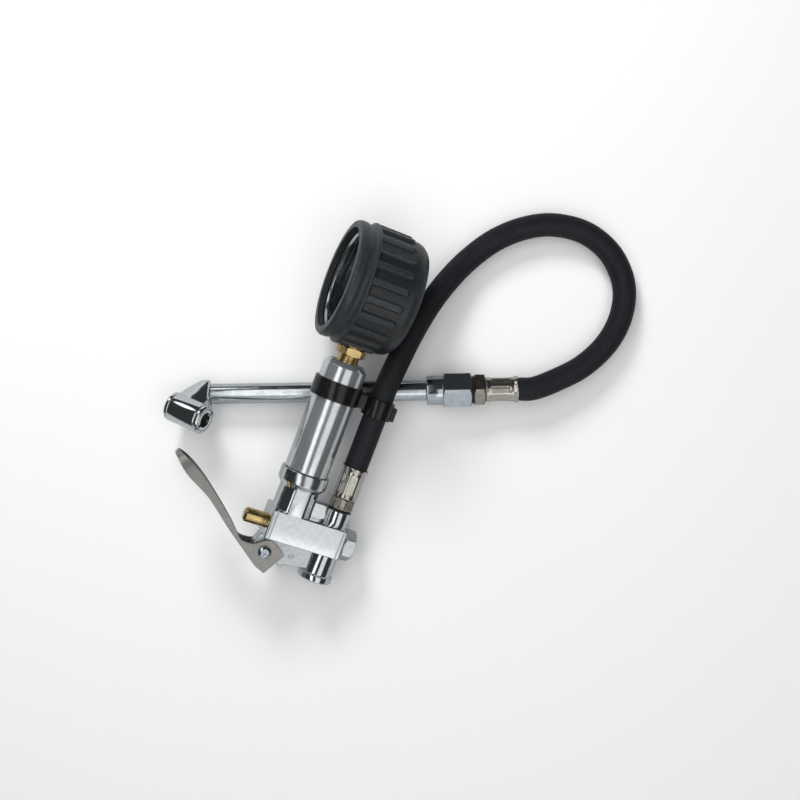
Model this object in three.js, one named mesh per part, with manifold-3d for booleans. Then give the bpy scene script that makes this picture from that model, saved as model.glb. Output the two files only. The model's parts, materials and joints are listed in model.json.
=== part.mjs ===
// Tyre inflator with gauge, lying on a bench: a squeeze-lever air valve with a gauge on top of its
// handle, and a hose that ends in a straight steel stem with a two-way chuck.
// Units are millimetres. +Z is up from the bench. The origin is the middle of the footprint.
import * as THREE from 'three';
import { mergeVertices } from 'three/addons/utils/BufferGeometryUtils.js';
import Module from 'manifold-3d';

const wasm = await Module();
wasm.setup();

// ---------------------------------------------------------------- driving dimensions
const GAP = 0.3;                 // clearance left between neighbouring pieces
const ROUND_COARSE = 16;         // facets on small round pieces
const ROUND_FINE = 26;           // facets on large round pieces

// How the valve and gauge lie on the bench
const GUN_YAW = 20.9;            // degrees, handle leans clockwise from the bench's +Y
const GUN_TILT = 4.9;            // degrees, the gauge end is lifted by its own boot
const GUN_TURN = 16.9;           // degrees about the handle, the lever side is turned up
const GUN_AT = [-58.3, -44.2, 31];

// Handle, collar and stem of the gauge, all on the handle's axis (local Z, 0 at the collar's top)
const HANDLE_R = 13.9;
const HANDLE_BORE_R = 9.5;
const HANDLE_TOP = 72.5;
const SHOULDER = 3.1;            // height of the handle's top chamfer
const COLLAR_R = 15.5;
const COLLAR_H = 7.3;
const COLUMN_R = 12.6;
const STEM_R = 6.6;
const HEX_STEM_AF = 16.5;

// Valve block
const BLOCK_X = [-13.4, 36.4];
const BLOCK_HALF_Y = 13.3;
const BLOCK_Z = [-45.2, -26];
const VALVE_Z = -36.8;           // height of the valve bore's axis
const PORT_X = 29;               // the hose port and the air inlet share this axis
const PORT_R = 8;
const PORT_TOP = -16.8;
const INLET_R = 9.6;
const INLET_RING_R = 11;
const INLET_MOUTH = -63.6;
const INLET_BORE_R = 6.4;
const PASSAGE_R = 2;
const PASSAGE_Z = -21.5;         // cross passage from the handle's bore to the hose port

// Plunger
const PIN_R = 4.6;
const PIN_TIP = -27.5;
const SEAT_X = 13.3;             // step in the bore that the seal closes on
const CHAMBER_R = 7.9;
const PLUG_X = 31.5;

// Lever, in its own frame with the pivot at 0, 0
const PIVOT = [-8.6, -54.4];
const LEVER_HALF_W = 8.6;
const LEVER_SHEET = 1.4;
const LEVER_TIP = [-71.6, 42.4];
const TIP_RISE = 38.4;           // degrees from local X at the tip
const TIP_REACH = 13;            // length over which the tip is rounded
const PIVOT_R = 2.4;

// Gauge, in its own frame: +Z out of the dial, +X away from the handle
const GAUGE_Z = 119.8;           // height of the dial's centre along the handle's axis
const BOOT_R = 39;               // over the ridge in front of the ribs
const BOOT_LIP_R = 36.9;
const BOOT_RIB_R = 38.2;
const BOOT_BODY_R = 36.5;
const BOOT_FRONT = 24.3;
const BOOT_BACK = -22.5;
const RIBS = 22;
const CASE_R = 31.4;
const CASE_BACK = -13.5;
const CASE_FRONT = 16;
const DIAL_Z = 8;
const POINTER_ZERO = 126;        // degrees from the top of the dial at no pressure

// Gauge movement
const TOOTH_MODULE = 0.5;
const PINION_TEETH = 9;
const SECTOR_TEETH = 54;         // teeth the sector would have as a whole wheel
const SECTOR_SWING = 42;         // degrees from no pressure to full scale
const MESH_PLAY = 0.12;          // added to the distance between the gear centres
const LINK_ARM = 6;              // from the sector's pivot to the link's pin
const BOURDON_R = 22;
const BOURDON_Z = -3.2;

// Hose, fittings and stem
const HOSE_R = 7.75;
const HOSE_BORE_R = 4.4;
const BALL_R = 7.3;              // ball end of a hose section at a bending point
const CUP_R = 7.75;
const FERRULE_R = 7.75;
const STEM_TUBE_R = 6.35;
const STEM_TUBE_BORE_R = 5.1;
const LINE_AT = [0, 5.8, 11.9];  // a point on the steel stem's axis
const LINE_SKEW = 0.9;           // degrees the stem's axis turns from the bench's +X
const LINE_RISE = 0.9;           // degrees the stem's axis rises towards the hose
const STEM_TUBE_X = [-120, 16.6];
const ADAPTOR_X = [16.6, 45.3];
const NIPPLE_X = [47, 53.8];
const FERRULE_X = [54.1, 74.7];

// Chuck head: a cross barrel on a flat neck, both in one plane that leans over the stem's axis
const HEAD_LEAN = 44;            // degrees of that plane from the bench
const BARREL_R = 9.3;
const BARREL_HALF = 13.1;
const BARREL_AT = [-132.9, 16.4];  // along the stem's axis, and away from it in the leaning plane
const BARREL_TURN = 30.5;        // degrees between the barrel and the stem
const FOOT_R = 7.1;

// ---------------------------------------------------------------- finishes
const finish = (color, roughness, metalness) =>
  new THREE.MeshStandardMaterial({ color, roughness, metalness });
const CHROME = finish(0xc9ced2, 0.18, 1);
const SATIN = finish(0xb9bfc3, 0.35, 1);
const ZINC = finish(0xb4bfc6, 0.3, 1);
const NICKEL = finish(0xb3aca0, 0.28, 1);
const SHEET = finish(0xa9a49b, 0.4, 1);
const BRASS = finish(0xc09a4a, 0.3, 1);
const STEEL = finish(0x9aa0a5, 0.35, 1);
const RUBBER = finish(0x1b1c1e, 0.75, 0);
const PLASTIC = finish(0x0c0d0f, 0.25, 0);
const FACE = finish(0x1a2433, 0.5, 0);
const NEEDLE = finish(0xd8402c, 0.5, 0);
const GLASS = new THREE.MeshStandardMaterial({
  color: 0xdfe8ee, roughness: 0.05, transparent: true, opacity: 0.3,
});

// ---------------------------------------------------------------- joining and cutting
function toManifold(geometry) {
  const bare = geometry.clone();
  bare.deleteAttribute('normal');
  bare.deleteAttribute('uv');
  const merged = mergeVertices(bare, 1e-4);
  const corners = merged.index.array;
  const kept = [];
  for (let i = 0; i < corners.length; i += 3) {
    const [a, b, c] = corners.slice(i, i + 3);
    if (a !== b && b !== c && c !== a) kept.push(a, b, c);
  }
  return new wasm.Manifold(new wasm.Mesh({
    numProp: 3,
    vertProperties: new Float32Array(merged.attributes.position.array),
    triVerts: new Uint32Array(kept),
  }));
}

function toGeometry(solid) {
  const { vertProperties, triVerts } = solid.getMesh();
  const geometry = new THREE.BufferGeometry();
  geometry.setAttribute('position', new THREE.BufferAttribute(new Float32Array(vertProperties), 3));
  geometry.setIndex(new THREE.BufferAttribute(new Uint32Array(triVerts), 1));
  return geometry;
}

function join(first, ...others) {
  return toGeometry(others.reduce((sum, other) => sum.add(toManifold(other)), toManifold(first)));
}

function cut(first, ...tools) {
  return toGeometry(tools.reduce((left, tool) => left.subtract(toManifold(tool)), toManifold(first)));
}

function common(first, second) {
  return toGeometry(toManifold(first).intersect(toManifold(second)));
}

// ---------------------------------------------------------------- plain shapes
function box([x0, x1], [y0, y1], [z0, z1]) {
  const solid = new THREE.BoxGeometry(x1 - x0, y1 - y0, z1 - z0);
  return solid.translate((x0 + x1) / 2, (y0 + y1) / 2, (z0 + z1) / 2);
}

// A solid turned about Z. The profile is [radius, height] points, anticlockwise with radius to the
// right, either starting and ending on the axis or a loop round a hollow.
function turned(profile, facets = ROUND_COARSE) {
  const points = profile.map(([r, z]) => new THREE.Vector2(r, z));
  if (profile[0][0] > 0) points.push(points[0].clone());
  return new THREE.LatheGeometry(points, facets).rotateX(Math.PI / 2);
}

function rod(radius, [z0, z1], facets = ROUND_COARSE) {
  return turned([[0, z0], [radius, z0], [radius, z1], [0, z1]], facets);
}

function ring(inner, outer, [z0, z1], facets = ROUND_COARSE) {
  return turned([[inner, z0], [outer, z0], [outer, z1], [inner, z1]], facets);
}

function roundRing(middle, section, z, facets = ROUND_COARSE) {
  return new THREE.TorusGeometry(middle, section, 6, facets).translate(0, 0, z);
}

const outline = points => new THREE.Shape(points.map(([x, y]) => new THREE.Vector2(x, y)));

function plate(points, [z0, z1]) {
  const solid = new THREE.ExtrudeGeometry(outline(points), { depth: z1 - z0, bevelEnabled: false });
  return solid.translate(0, 0, z0);
}

// The outline lies in X, Z and the plate's thickness is along Y
function plateAcrossY(points, [y0, y1]) {
  return plate(points, [-y1, -y0]).rotateX(Math.PI / 2);
}

// The outline lies in Y, Z and the bar runs along X
function barAlongX(points, [x0, x1]) {
  const turn = new THREE.Matrix4().set(0, 0, 1, 0, 1, 0, 0, 0, 0, 1, 0, 0, 0, 0, 0, 1);
  return plate(points, [x0, x1]).applyMatrix4(turn);
}

const alongX = solid => solid.rotateY(Math.PI / 2);
const alongY = solid => solid.rotateX(-Math.PI / 2);
const radians = THREE.MathUtils.degToRad;

// A smooth line through the given points, as a list of points
function smooth(points, steps) {
  const curve = new THREE.SplineCurve(points.map(([x, y]) => new THREE.Vector2(x, y)));
  return curve.getPoints(steps).map(({ x, y }) => [x, y]);
}

function arc(radius, from, to, steps, [cx, cy] = [0, 0]) {
  return Array.from({ length: steps + 1 }, (_, i) => {
    const angle = radians(from + (to - from) * i / steps);
    return [cx + radius * Math.cos(angle), cy + radius * Math.sin(angle)];
  });
}

// A hexagonal nut shape along Z with its corners turned off at both ends
function hexagon(acrossFlats, [z0, z1], turn = 0) {
  const corner = acrossFlats / Math.sqrt(3);
  const bevel = (corner - acrossFlats / 2) * 0.6;
  const prism = plate(arc(corner, turn, turn + 300, 5), [z0, z1]);
  const shoulders = turned([[0, z0], [acrossFlats / 2, z0], [corner, z0 + bevel],
    [corner, z1 - bevel], [acrossFlats / 2, z1], [0, z1]], 24);
  return common(prism, shoulders);
}

function named(name, geometry, material) {
  const mesh = new THREE.Mesh(geometry, material);
  mesh.name = name;
  return mesh;
}

// ---------------------------------------------------------------- valve body and plunger
function valveBody() {
  const [x0, x1] = BLOCK_X;
  const [z0, z1] = BLOCK_Z;
  const edge = 1.4;
  const y = BLOCK_HALF_Y;
  const block = barAlongX([[-y + edge, z0], [y - edge, z0], [y, z0 + edge], [y, z1 - edge],
    [y - edge, z1], [-y + edge, z1], [-y, z1 - edge], [-y, z0 + edge]], BLOCK_X);
  const column = turned([[0, z1 - 1], [COLUMN_R, z1 - 1], [COLUMN_R, -11], [COLLAR_R, -COLLAR_H],
    [COLLAR_R, 0], [10.6, 0], [10.6, 10], [0, 10]], ROUND_FINE);
  const rib = box([-4.65, 4.65], [-y, 0], [z1 - 1, -COLLAR_H]);
  const web = box([0, PORT_X - PORT_R + 0.4], [-4, 4], [z1 - 1, -16]);
  const port = rod(PORT_R, [z1 - 1, PORT_TOP]).translate(PORT_X, 0, 0);
  const inlet = turned([[0, INLET_MOUTH], [INLET_RING_R - 0.8, INLET_MOUTH],
    [INLET_RING_R, INLET_MOUTH + 0.8], [INLET_RING_R, INLET_MOUTH + 4.2],
    [INLET_R, INLET_MOUTH + 4.8], [INLET_R, z0 + 1], [0, z0 + 1]],
  ROUND_FINE).translate(PORT_X, 0, 0);
  const lug = plateAcrossY([[x0, z0 + 2], [-16.4, -50], [-16.6, -56], [-13.6, -60], [-8, -60.8],
    [2.8, -60], [3.2, -61.6], [5.4, -61.6], [5.8, -59.6], [PORT_X - 6, -57.4], [PORT_X - 6, z0 + 2]],
    [-5, 5]);
  return cut(join(block, column, rib, web, port, inlet, lug), ...valveBodyHollows());
}

function valveBodyHollows() {
  const [x0, x1] = BLOCK_X;
  const bore = alongX(turned([[0, x0 - 1], [PIN_R + GAP, x0 - 1], [PIN_R + GAP, -4], [5.4, -4],
    [5.4, SEAT_X], [CHAMBER_R, SEAT_X], [CHAMBER_R, PLUG_X - 0.5], [8.5, PLUG_X - 0.5], [8.5, x1 + 1],
    [0, x1 + 1]]))
    .translate(0, 0, VALVE_Z);
  const handleBore = rod(3, [VALVE_Z, 11]);
  const crossBore = alongX(rod(PASSAGE_R, [0, PORT_X], 12)).translate(0, 0, PASSAGE_Z);
  const portBore = rod(5.1, [-24.2, PORT_TOP + 1]).translate(PORT_X, 0, 0);
  const inletBore = turned([[0, INLET_MOUTH - 1], [INLET_BORE_R, INLET_MOUTH - 1], [INLET_BORE_R, -50],
    [4, -50], [4, VALVE_Z], [0, VALVE_Z]]).translate(PORT_X, 0, 0);
  const pivotHole = alongY(rod(PIVOT_R + GAP, [-6, 6])).translate(PIVOT[0], 0, PIVOT[1]);
  const plugSeat = alongX(rod(11, [x1, x1 + 4])).translate(0, 0, VALVE_Z);
  const sealGroove = ring(9.2, 12, [4.2, 6.8]);
  const grooves = [-1, 1].flatMap(side => [x0 + 3, x1 - 3].map(x =>
    box([x - 0.4, x + 0.4], [side * BLOCK_HALF_Y - 0.7, side * BLOCK_HALF_Y + 0.7], BLOCK_Z)));
  return [bore, handleBore, crossBore, portBore, inletBore, pivotHole, plugSeat, sealGroove,
    ...grooves];
}

// The plunger and what lies on its axis are turned about local Z, which is the valve bore's axis
function valveStem() {
  return turned([[0, PIN_TIP], [3.3, PIN_TIP], [PIN_R, PIN_TIP + 1.4], [PIN_R, -12.2],
    [3.1, -12.2], [3.1, -10], [PIN_R, -10], [PIN_R, -8.6], [3.1, -8.6], [3.1, -6.4], [PIN_R, -6.4],
    [PIN_R, -5], [2.2, -5],
    [2.2, SEAT_X + 3.6], [4.6, SEAT_X + 3.6], [4.6, SEAT_X + 5], [2.2, SEAT_X + 5], [2.2, SEAT_X + 8],
    [0, SEAT_X + 8]]);
}

function valveSpring() {
  const first = SEAT_X + 5.6;
  const last = PLUG_X - 1;
  const turns = 3.5;
  const wire = 0.55;
  const steps = 8;
  const helix = new THREE.CatmullRomCurve3(Array.from({ length: turns * 8 + 1 }, (_, i) => {
    const angle = i * Math.PI / 4;
    const z = first + wire + (last - first - 2 * wire) * i / (turns * 8);
    return new THREE.Vector3(4.4 * Math.cos(angle), 4.4 * Math.sin(angle), z);
  }));
  const section = outline(arc(wire, 0, 270, 3));
  return new THREE.ExtrudeGeometry(section,
    { steps: turns * steps, extrudePath: helix, bevelEnabled: false });
}

function valvePlug() {
  const end = BLOCK_X[1];
  const thread = turned([[0, PLUG_X], [8.1, PLUG_X], [8.1, end + 1.4], [0, end + 1.4]], ROUND_FINE);
  return join(thread, hexagon(17.8, [end + 1.1, end + 8.6], 0));
}

function valveLine() {
  const line = new THREE.Group();
  line.rotation.y = Math.PI / 2;
  line.position.z = VALVE_Z;
  line.add(
    named('valve_plunger', valveStem(), BRASS),
    named('plunger_o_ring_outer', roundRing(3.95, 0.7, -11.1), RUBBER),
    named('plunger_o_ring_inner', roundRing(3.95, 0.7, -7.5), RUBBER),
    named('valve_seal', ring(2.5, 6.9, [SEAT_X + 0.3, SEAT_X + 3.3]), RUBBER),
    named('valve_spring', valveSpring(), STEEL),
    named('valve_plug', valvePlug(), SATIN),
    named('plug_gasket', ring(8.5, 9.5, [BLOCK_X[1] + 0.2, BLOCK_X[1] + 0.9], ROUND_FINE), RUBBER),
  );
  return line;
}

// ---------------------------------------------------------------- lever
// Side outlines in X, Z about the pivot. The channel's web follows the outer edge.
const LEVER_OUTER = smooth([[-2.7, -10.1], [-14.5, -1.4], [-28, 8.8], [-44.2, 22], [-61, 31.6],
  [-71.2, 40.6]], 14);
const LEVER_INNER = smooth([[-70.2, 43.6], [-61.5, 39.9], [-49.2, 32.1], [-34.3, 19.9], [-22.6, 9.4],
  [-16, 3], [-7.9, 2.8]], 16);
const LEVER_EARS = [[-1.9, 7], [1.7, 8.2], [12.7, 1.6], [4.1, -13]];

// The lever seen along its thickness at the tip, which is rounded like a spoon
function spoonOutline(halfWidth, setBack) {
  const nose = arc(1, -90, 90, 10).map(([x, y]) => [TIP_REACH * (x - 1) - setBack, halfWidth * y]);
  return plate([[-140, -halfWidth], ...nose, [-140, halfWidth]], [-90, 90])
    .rotateY(radians(180 + TIP_RISE)).translate(LEVER_TIP[0], 0, LEVER_TIP[1]);
}

function lever() {
  const side = plateAcrossY([...LEVER_INNER, ...LEVER_EARS, ...LEVER_OUTER], [-LEVER_HALF_W, LEVER_HALF_W]);
  const inside = LEVER_OUTER.map(([x, z], i) => {
    const [ax, az] = LEVER_OUTER[Math.max(i - 1, 0)];
    const [bx, bz] = LEVER_OUTER[Math.min(i + 1, LEVER_OUTER.length - 1)];
    const length = Math.hypot(bx - ax, bz - az);
    return [x + LEVER_SHEET * (bz - az) / length, z - LEVER_SHEET * (bx - ax) / length];
  });
  const half = LEVER_HALF_W - LEVER_SHEET;
  const hollow = plateAcrossY([[-3, -25], ...inside, [-60, 60], [40, 60], [40, -25]], [-half, half]);
  const pivotHole = alongY(rod(PIVOT_R + GAP, [-12, 12]));
  return cut(common(side, spoonOutline(LEVER_HALF_W, 0)), common(hollow, spoonOutline(half, LEVER_SHEET)),
    pivotHole);
}

function leverGroup() {
  const group = new THREE.Group();
  group.position.set(PIVOT[0], 0, PIVOT[1]);
  const outside = LEVER_HALF_W + 0.2;
  const screw = turned([[0, -outside - 2.3], [3.2, -outside - 2.3], [4.2, -outside - 1.2], [4.2, -outside],
    [PIVOT_R, -outside], [PIVOT_R, outside + 3], [0, outside + 3]]);
  const recess = [0, 90].map(turn => box([-1.6, 1.6], [-0.4, 0.4], [-outside - 3, -outside - 1.2])
    .rotateZ(radians(turn)));
  const nut = cut(hexagon(8, [outside, outside + 3.2]), rod(PIVOT_R + 0.25, [outside - 1, outside + 4]));
  group.add(
    named('squeeze_lever', lever(), SHEET),
    named('lever_pivot_screw', alongY(cut(screw, ...recess)), ZINC),
    named('lever_pivot_nut', alongY(nut), ZINC),
  );
  return group;
}

// ---------------------------------------------------------------- handle and gauge stem
function handleTube() {
  const top = HANDLE_TOP;
  return turned([[11, GAP], [HANDLE_R, GAP], [HANDLE_R, top - SHOULDER], [HANDLE_R - 2.9, top],
    [STEM_R + GAP, top], [STEM_R + GAP, 60], [HANDLE_BORE_R, 56], [HANDLE_BORE_R, 14], [11, 11]], ROUND_FINE);
}

function gaugeStem() {
  const neck = turned([[0, 61], [STEM_R, 61], [STEM_R, 78], [0, 78]]);
  const hex = hexagon(HEX_STEM_AF, [77, 82.1], 0);
  const shank = rod(6.2, [82, 92]);
  const socket = box([-3, 12.2], [-8, 8], [91.3, 102]);
  const shelf = box([8.3, 12.2], [-7, 7], [101, 109]);
  const bore = rod(PASSAGE_R, [60, 101]);
  const tubePort = alongY(rod(1.2, [0, 9], 12)).translate(2.6, 0, 100.4);
  return cut(join(neck, hex, shank, socket, shelf), bore, tubePort);
}

// ---------------------------------------------------------------- gauge
function gaugeBoot() {
  const shell = turned([[31.9, 20.7], [34, 20.7], [34, 15.9], [31.9, 15.9], [31.9, -14.2], [24, -14.2],
    [24, BOOT_BACK], [29, BOOT_BACK], [33.2, -21.2], [35.6, -18.2], [BOOT_BODY_R, -15],
    [BOOT_BODY_R, 9.4], [BOOT_R, 10.2], [BOOT_R, 12.4], [36.3, 13.8], [36.1, 15.6], [BOOT_LIP_R, 18],
    [BOOT_LIP_R, 22.4], [35.6, BOOT_FRONT], [31.9, BOOT_FRONT]], 32);
  const ribs = Array.from({ length: RIBS }, (_, i) =>
    box([BOOT_BODY_R - 1, BOOT_RIB_R], [-2.2, 2.2], [-12.2, 10.8])
      .rotateZ(radians((i + 0.5) * 360 / RIBS)));
  const stemHole = alongX(rod(7.2, [-40, -28]));
  const hexRoom = alongX(rod(10.2, [-41, GAP - BOOT_BODY_R]));
  return cut(join(shell, ...ribs), stemHole, hexRoom);
}

function gaugeCase() {
  const wall = 0.9;
  const cup = turned([[0, CASE_BACK], [CASE_R, CASE_BACK], [CASE_R, CASE_FRONT], [CASE_R - wall, CASE_FRONT],
    [CASE_R - wall, CASE_BACK + wall], [0, CASE_BACK + wall]], 32);
  const stemHole = alongX(rod(6.7, [-40, -28]));
  const screwHoles = [-5, 5].map(y => rod(1.5, [CASE_BACK - 1, CASE_BACK + 2], 12).translate(-20.5, y, 0));
  return cut(cup, stemHole, ...screwHoles);
}

function caseScrew() {
  return turned([[0, CASE_BACK - 1.6], [1.8, CASE_BACK - 1.6], [2.5, CASE_BACK - 0.3], [1.1, CASE_BACK - 0.3],
    [1.1, CASE_BACK + 1], [0, CASE_BACK + 1]], 12);
}

// Straight-sided teeth, thinner than half the pitch so that they run with play
function toothedOutline(teethShown, teethWhole, startAngle) {
  const pitchR = TOOTH_MODULE * teethWhole / 2;
  const pitch = 360 / teethWhole;
  const [root, tip] = [pitchR - 1.15 * TOOTH_MODULE, pitchR + 0.75 * TOOTH_MODULE];
  const points = [];
  for (let i = 0; i < teethShown; i++) {
    const middle = startAngle + i * pitch;
    for (const [radius, share] of [[root, -0.3], [tip, -0.1], [tip, 0.1], [root, 0.3]]) {
      const angle = radians(middle + share * pitch);
      points.push([radius * Math.cos(angle), radius * Math.sin(angle)]);
    }
  }
  return points;
}

const GEAR_CENTRES = TOOTH_MODULE * (PINION_TEETH + SECTOR_TEETH) / 2 + MESH_PLAY;

// Turned about its own pivot. At rest the first of its teeth is in mesh, towards +Y.
function sectorGear() {
  const pitch = 360 / SECTOR_TEETH;
  const teethShown = Math.round(SECTOR_SWING / pitch) + 4;
  const first = 90 - (teethShown - 2) * pitch;
  const teeth = toothedOutline(teethShown, SECTOR_TEETH, first);
  const face = plate([...teeth, [1, 2.4], [-0.8, 2.2], ...arc(2.2, 100, 350, 8)], [-3.6, -1.8]);
  const tail = plate([[-LINK_ARM - 1.8, -1.8], [1, -1.8], [1, 1.8], [-LINK_ARM - 1.8, 1.8]], [-3.6, -1.8]);
  const arbor = rod(1, [-7.7, 3.4], 12);
  const tailHole = rod(1.3, [-5, 0], 12).translate(-LINK_ARM, 0, 0);
  return cut(join(face, tail, arbor), tailHole);
}

function pointerSpindle() {
  const halfTooth = 180 / PINION_TEETH;
  const pinion = plate(toothedOutline(PINION_TEETH, PINION_TEETH, -90 + halfTooth), [-4.2, -1.2]);
  return join(pinion, rod(1, [-7.7, 11], 12));
}

function movementPlate([z0, z1]) {
  const body = plate([[-17, -6.4], [-17, 6.4], [-8, 7], [3.4, 6.2], [5.4, 4], [5.4, -18], [4.4, -19.4],
    [-3, -19.4], [-6, -15], [-12, -9]], [z0, z1]);
  const holes = [0, -GEAR_CENTRES].map(y => rod(1.3, [z0 - 1, z1 + 1], 12).translate(0, y, 0));
  return cut(body, ...holes);
}

function bourdonTube() {
  const sweep = arc(BOURDON_R, 156, -88, 14).map(([x, y]) => new THREE.Vector3(x, y, BOURDON_Z));
  const oval = (a, b, count) => Array.from({ length: count }, (_, i) => {
    const angle = i * 2 * Math.PI / count;
    return new THREE.Vector2(a * Math.cos(angle), b * Math.sin(angle));
  });
  const section = new THREE.Shape(oval(4.3, 1.5, 8));
  section.holes.push(new THREE.Path(oval(3.6, 0.9, 8)));
  const path = new THREE.CatmullRomCurve3(sweep);
  const tube = new THREE.ExtrudeGeometry(section, { steps: 14, extrudePath: path, bevelEnabled: false });
  return tube;
}

function gaugePointer() {
  const needle = plate([[-7, -1.5], [0, -1.1], [24, -0.35], [25, 0], [24, 0.35], [0, 1.1], [-7, 1.5]],
    [10, 10.7]);
  const hub = rod(2.6, [9.6, 11.2]);
  return cut(join(needle, hub), rod(1.3, [9, 12], 12));
}

function gaugeGroup() {
  const group = new THREE.Group();
  group.rotation.y = -Math.PI / 2;
  group.position.z = GAUGE_Z;
  const pillars = [[-14, 4], [3.4, 4], [3.3, -18.2]];
  const movement = new THREE.Group();
  const sector = named('sector_gear', sectorGear(), BRASS);
  sector.position.set(0, -GEAR_CENTRES, 0);
  const pointer = named('gauge_pointer', gaugePointer(), NEEDLE);
  pointer.rotation.z = radians(POINTER_ZERO);
  movement.add(
    named('movement_plate_back', movementPlate([-8, -6.8]), BRASS),
    named('movement_plate_front', movementPlate([2.3, 3.1]), BRASS),
    ...pillars.map(([x, y], i) => {
      const pillar = named(`movement_pillar_${i + 1}`, rod(1.5, [-6.5, 1.9], 12), BRASS);
      pillar.position.set(x, y, 0);
      return pillar;
    }),
    sector,
    named('pointer_spindle', pointerSpindle(), STEEL),
    named('movement_link', movementLink(), BRASS),
    pointer,
  );
  const dialScrews = [[14, 14], [14, -14]];
  const dial = cut(rod(29.6, [DIAL_Z, DIAL_Z + 0.6], 32), rod(1.7, [DIAL_Z - 1, DIAL_Z + 2], 16),
    ...dialScrews.map(([x, y]) => rod(1.2, [DIAL_Z - 1, DIAL_Z + 2], 12).translate(x, y, 0)));
  group.add(
    named('gauge_boot', gaugeBoot(), RUBBER),
    named('gauge_case', gaugeCase(), STEEL),
    named('gauge_bezel', turned([[28.8, 16.3], [33.6, 16.3], [33.6, 19.6], [32.4, 20.3], [29.6, 20.3],
      [28.8, 19]], 32), CHROME),
    named('gauge_lens', rod(30.1, [13.6, 15.6], 32), GLASS),
    named('gauge_dial', dial, FACE),
    named('bourdon_tube', bourdonTube(), BRASS),
    named('bourdon_tip', bourdonTip(), BRASS),
    movement,
  );
  dialScrews.forEach(([x, y], i) => {
    const screw = turned([[0, 5.4], [0.9, 5.4], [0.9, 8.9], [1.9, 8.9], [1.5, 9.8], [0, 9.8]], 12);
    const mesh = named(`dial_screw_${i + 1}`, screw, STEEL);
    mesh.position.set(x, y, 0);
    group.add(mesh);
  });
  [-5, 5].forEach((y, i) => {
    const mesh = named(`case_screw_${i + 1}`, caseScrew(), ZINC);
    mesh.position.set(-20.5, y, 0);
    group.add(mesh);
  });
  return group;
}

// Closes the free end of the curved tube
function bourdonTip() {
  return box([-1.3, 0.4], [-BOURDON_R - 1.6, -BOURDON_R + 1.6], [BOURDON_Z - 4, BOURDON_Z + 4]);
}

function movementLink() {
  const [x, y] = [-LINK_ARM, -GEAR_CENTRES];
  const bar = plate([[x - 1.2, y + 0.2], [x + 4.8, y - 7], [x + 6.4, y - 5.8], [x + 0.6, y + 1.2]],
    [1.5, 2]);
  return join(bar, rod(0.4, [-3.8, 1.6], 12).translate(x, y, 0));
}

// ---------------------------------------------------------------- hose clip
function hoseClip() {
  const onHandle = [48.2, 60];
  const onHose = [46, 57.4];
  const handleBand = ring(HANDLE_R + GAP, 15.5, onHandle, ROUND_FINE);
  const hoseBand = ring(HOSE_R + GAP, 9.5, onHose, ROUND_FINE).translate(PORT_X, 0, 0);
  const bridge = box([HANDLE_R + 1, PORT_X - HOSE_R - 1], [-2.4, 2.4], [onHandle[0], onHose[1]]);
  const tail = box([PORT_X + 8.4, PORT_X + 11.4], [-3.4, 3.4], [46.6, 55.4]);
  const mouth = box([PORT_X - 3, PORT_X + 8], [7, 12], [onHose[0] - 1, onHose[1] + 1]);
  return cut(join(handleBand, hoseBand, bridge, tail), mouth);
}

// ---------------------------------------------------------------- hose fittings
function hoseNippleGun() {
  const thread = rod(4.7, [-23.6, -15]);
  const hex = hexagon(13.4, [PORT_TOP + 1.1, -8.5], 30);
  const barb = rod(4, [-9, 8]);
  return cut(join(thread, hex, barb), rod(PASSAGE_R, [-25, 9], 12));
}

// A crimped sleeve, flared at its far end, from z = 0 to its length
function ferrule(length) {
  return turned([[6.9, 0], [FERRULE_R, 0], [FERRULE_R, length - 3], [8.5, length], [8.1, length],
    [7.2, length - 3], [6.9, length - 3.6]], ROUND_FINE);
}

// ---------------------------------------------------------------- hose
// The path runs up beside the handle, over the steel stem, round a loop and back to the stem.
function hosePath(...besideHandle) {
  const end = lineToBench(FERRULE_X[1] + GAP);
  const beforeEnd = lineToBench(FERRULE_X[1] + 9);
  const loop = [[10, 46, 21], [26.5, 71, 14.5], [44, 89.8, 9], [61.4, 102.4, 8.4], [79.2, 109.6, 8.2],
    [97.5, 111.8, 8.2], [118.5, 106.6, 8.2], [133.6, 94.4, 8.2], [141.6, 79, 8.2], [143.2, 66, 8.2],
    [140.2, 51, 8.2], [131.8, 36, 8.6], [116.6, 21.8, 9.8], [99, 12.6, 11.4]];
  return new THREE.CatmullRomCurve3([...besideHandle, ...loop.map(p => new THREE.Vector3(...p)),
    beforeEnd, end], false, 'centripetal');
}

function circle(radius, count) {
  return Array.from({ length: count }, (_, i) => {
    const angle = i * 2 * Math.PI / count;
    return new THREE.Vector2(radius * Math.cos(angle), radius * Math.sin(angle));
  });
}

// A length of hose between two shares of the whole path, with its bore
function hoseLength(path, from, to, steps) {
  const points = Array.from({ length: steps + 1 }, (_, i) => path.getPointAt(from + (to - from) * i / steps));
  const section = new THREE.Shape(circle(HOSE_R, 14));
  section.holes.push(new THREE.Path(circle(HOSE_BORE_R, 6)));
  const curve = new THREE.CatmullRomCurve3(points);
  return new THREE.ExtrudeGeometry(section, { steps, extrudePath: curve, bevelEnabled: false });
}

const ball = (radius, centre) => new THREE.SphereGeometry(radius, 12, 8).translate(...centre.toArray());

// A solid of revolution about Z moved so that its Z runs along a direction from a point
function placed(solid, at, direction) {
  const turn = new THREE.Quaternion().setFromUnitVectors(new THREE.Vector3(0, 0, 1), direction);
  return solid.applyQuaternion(turn).translate(...at.toArray());
}

function benchToLocal(geometry, origin) {
  return geometry.translate(-origin.x, -origin.y, -origin.z);
}

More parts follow.
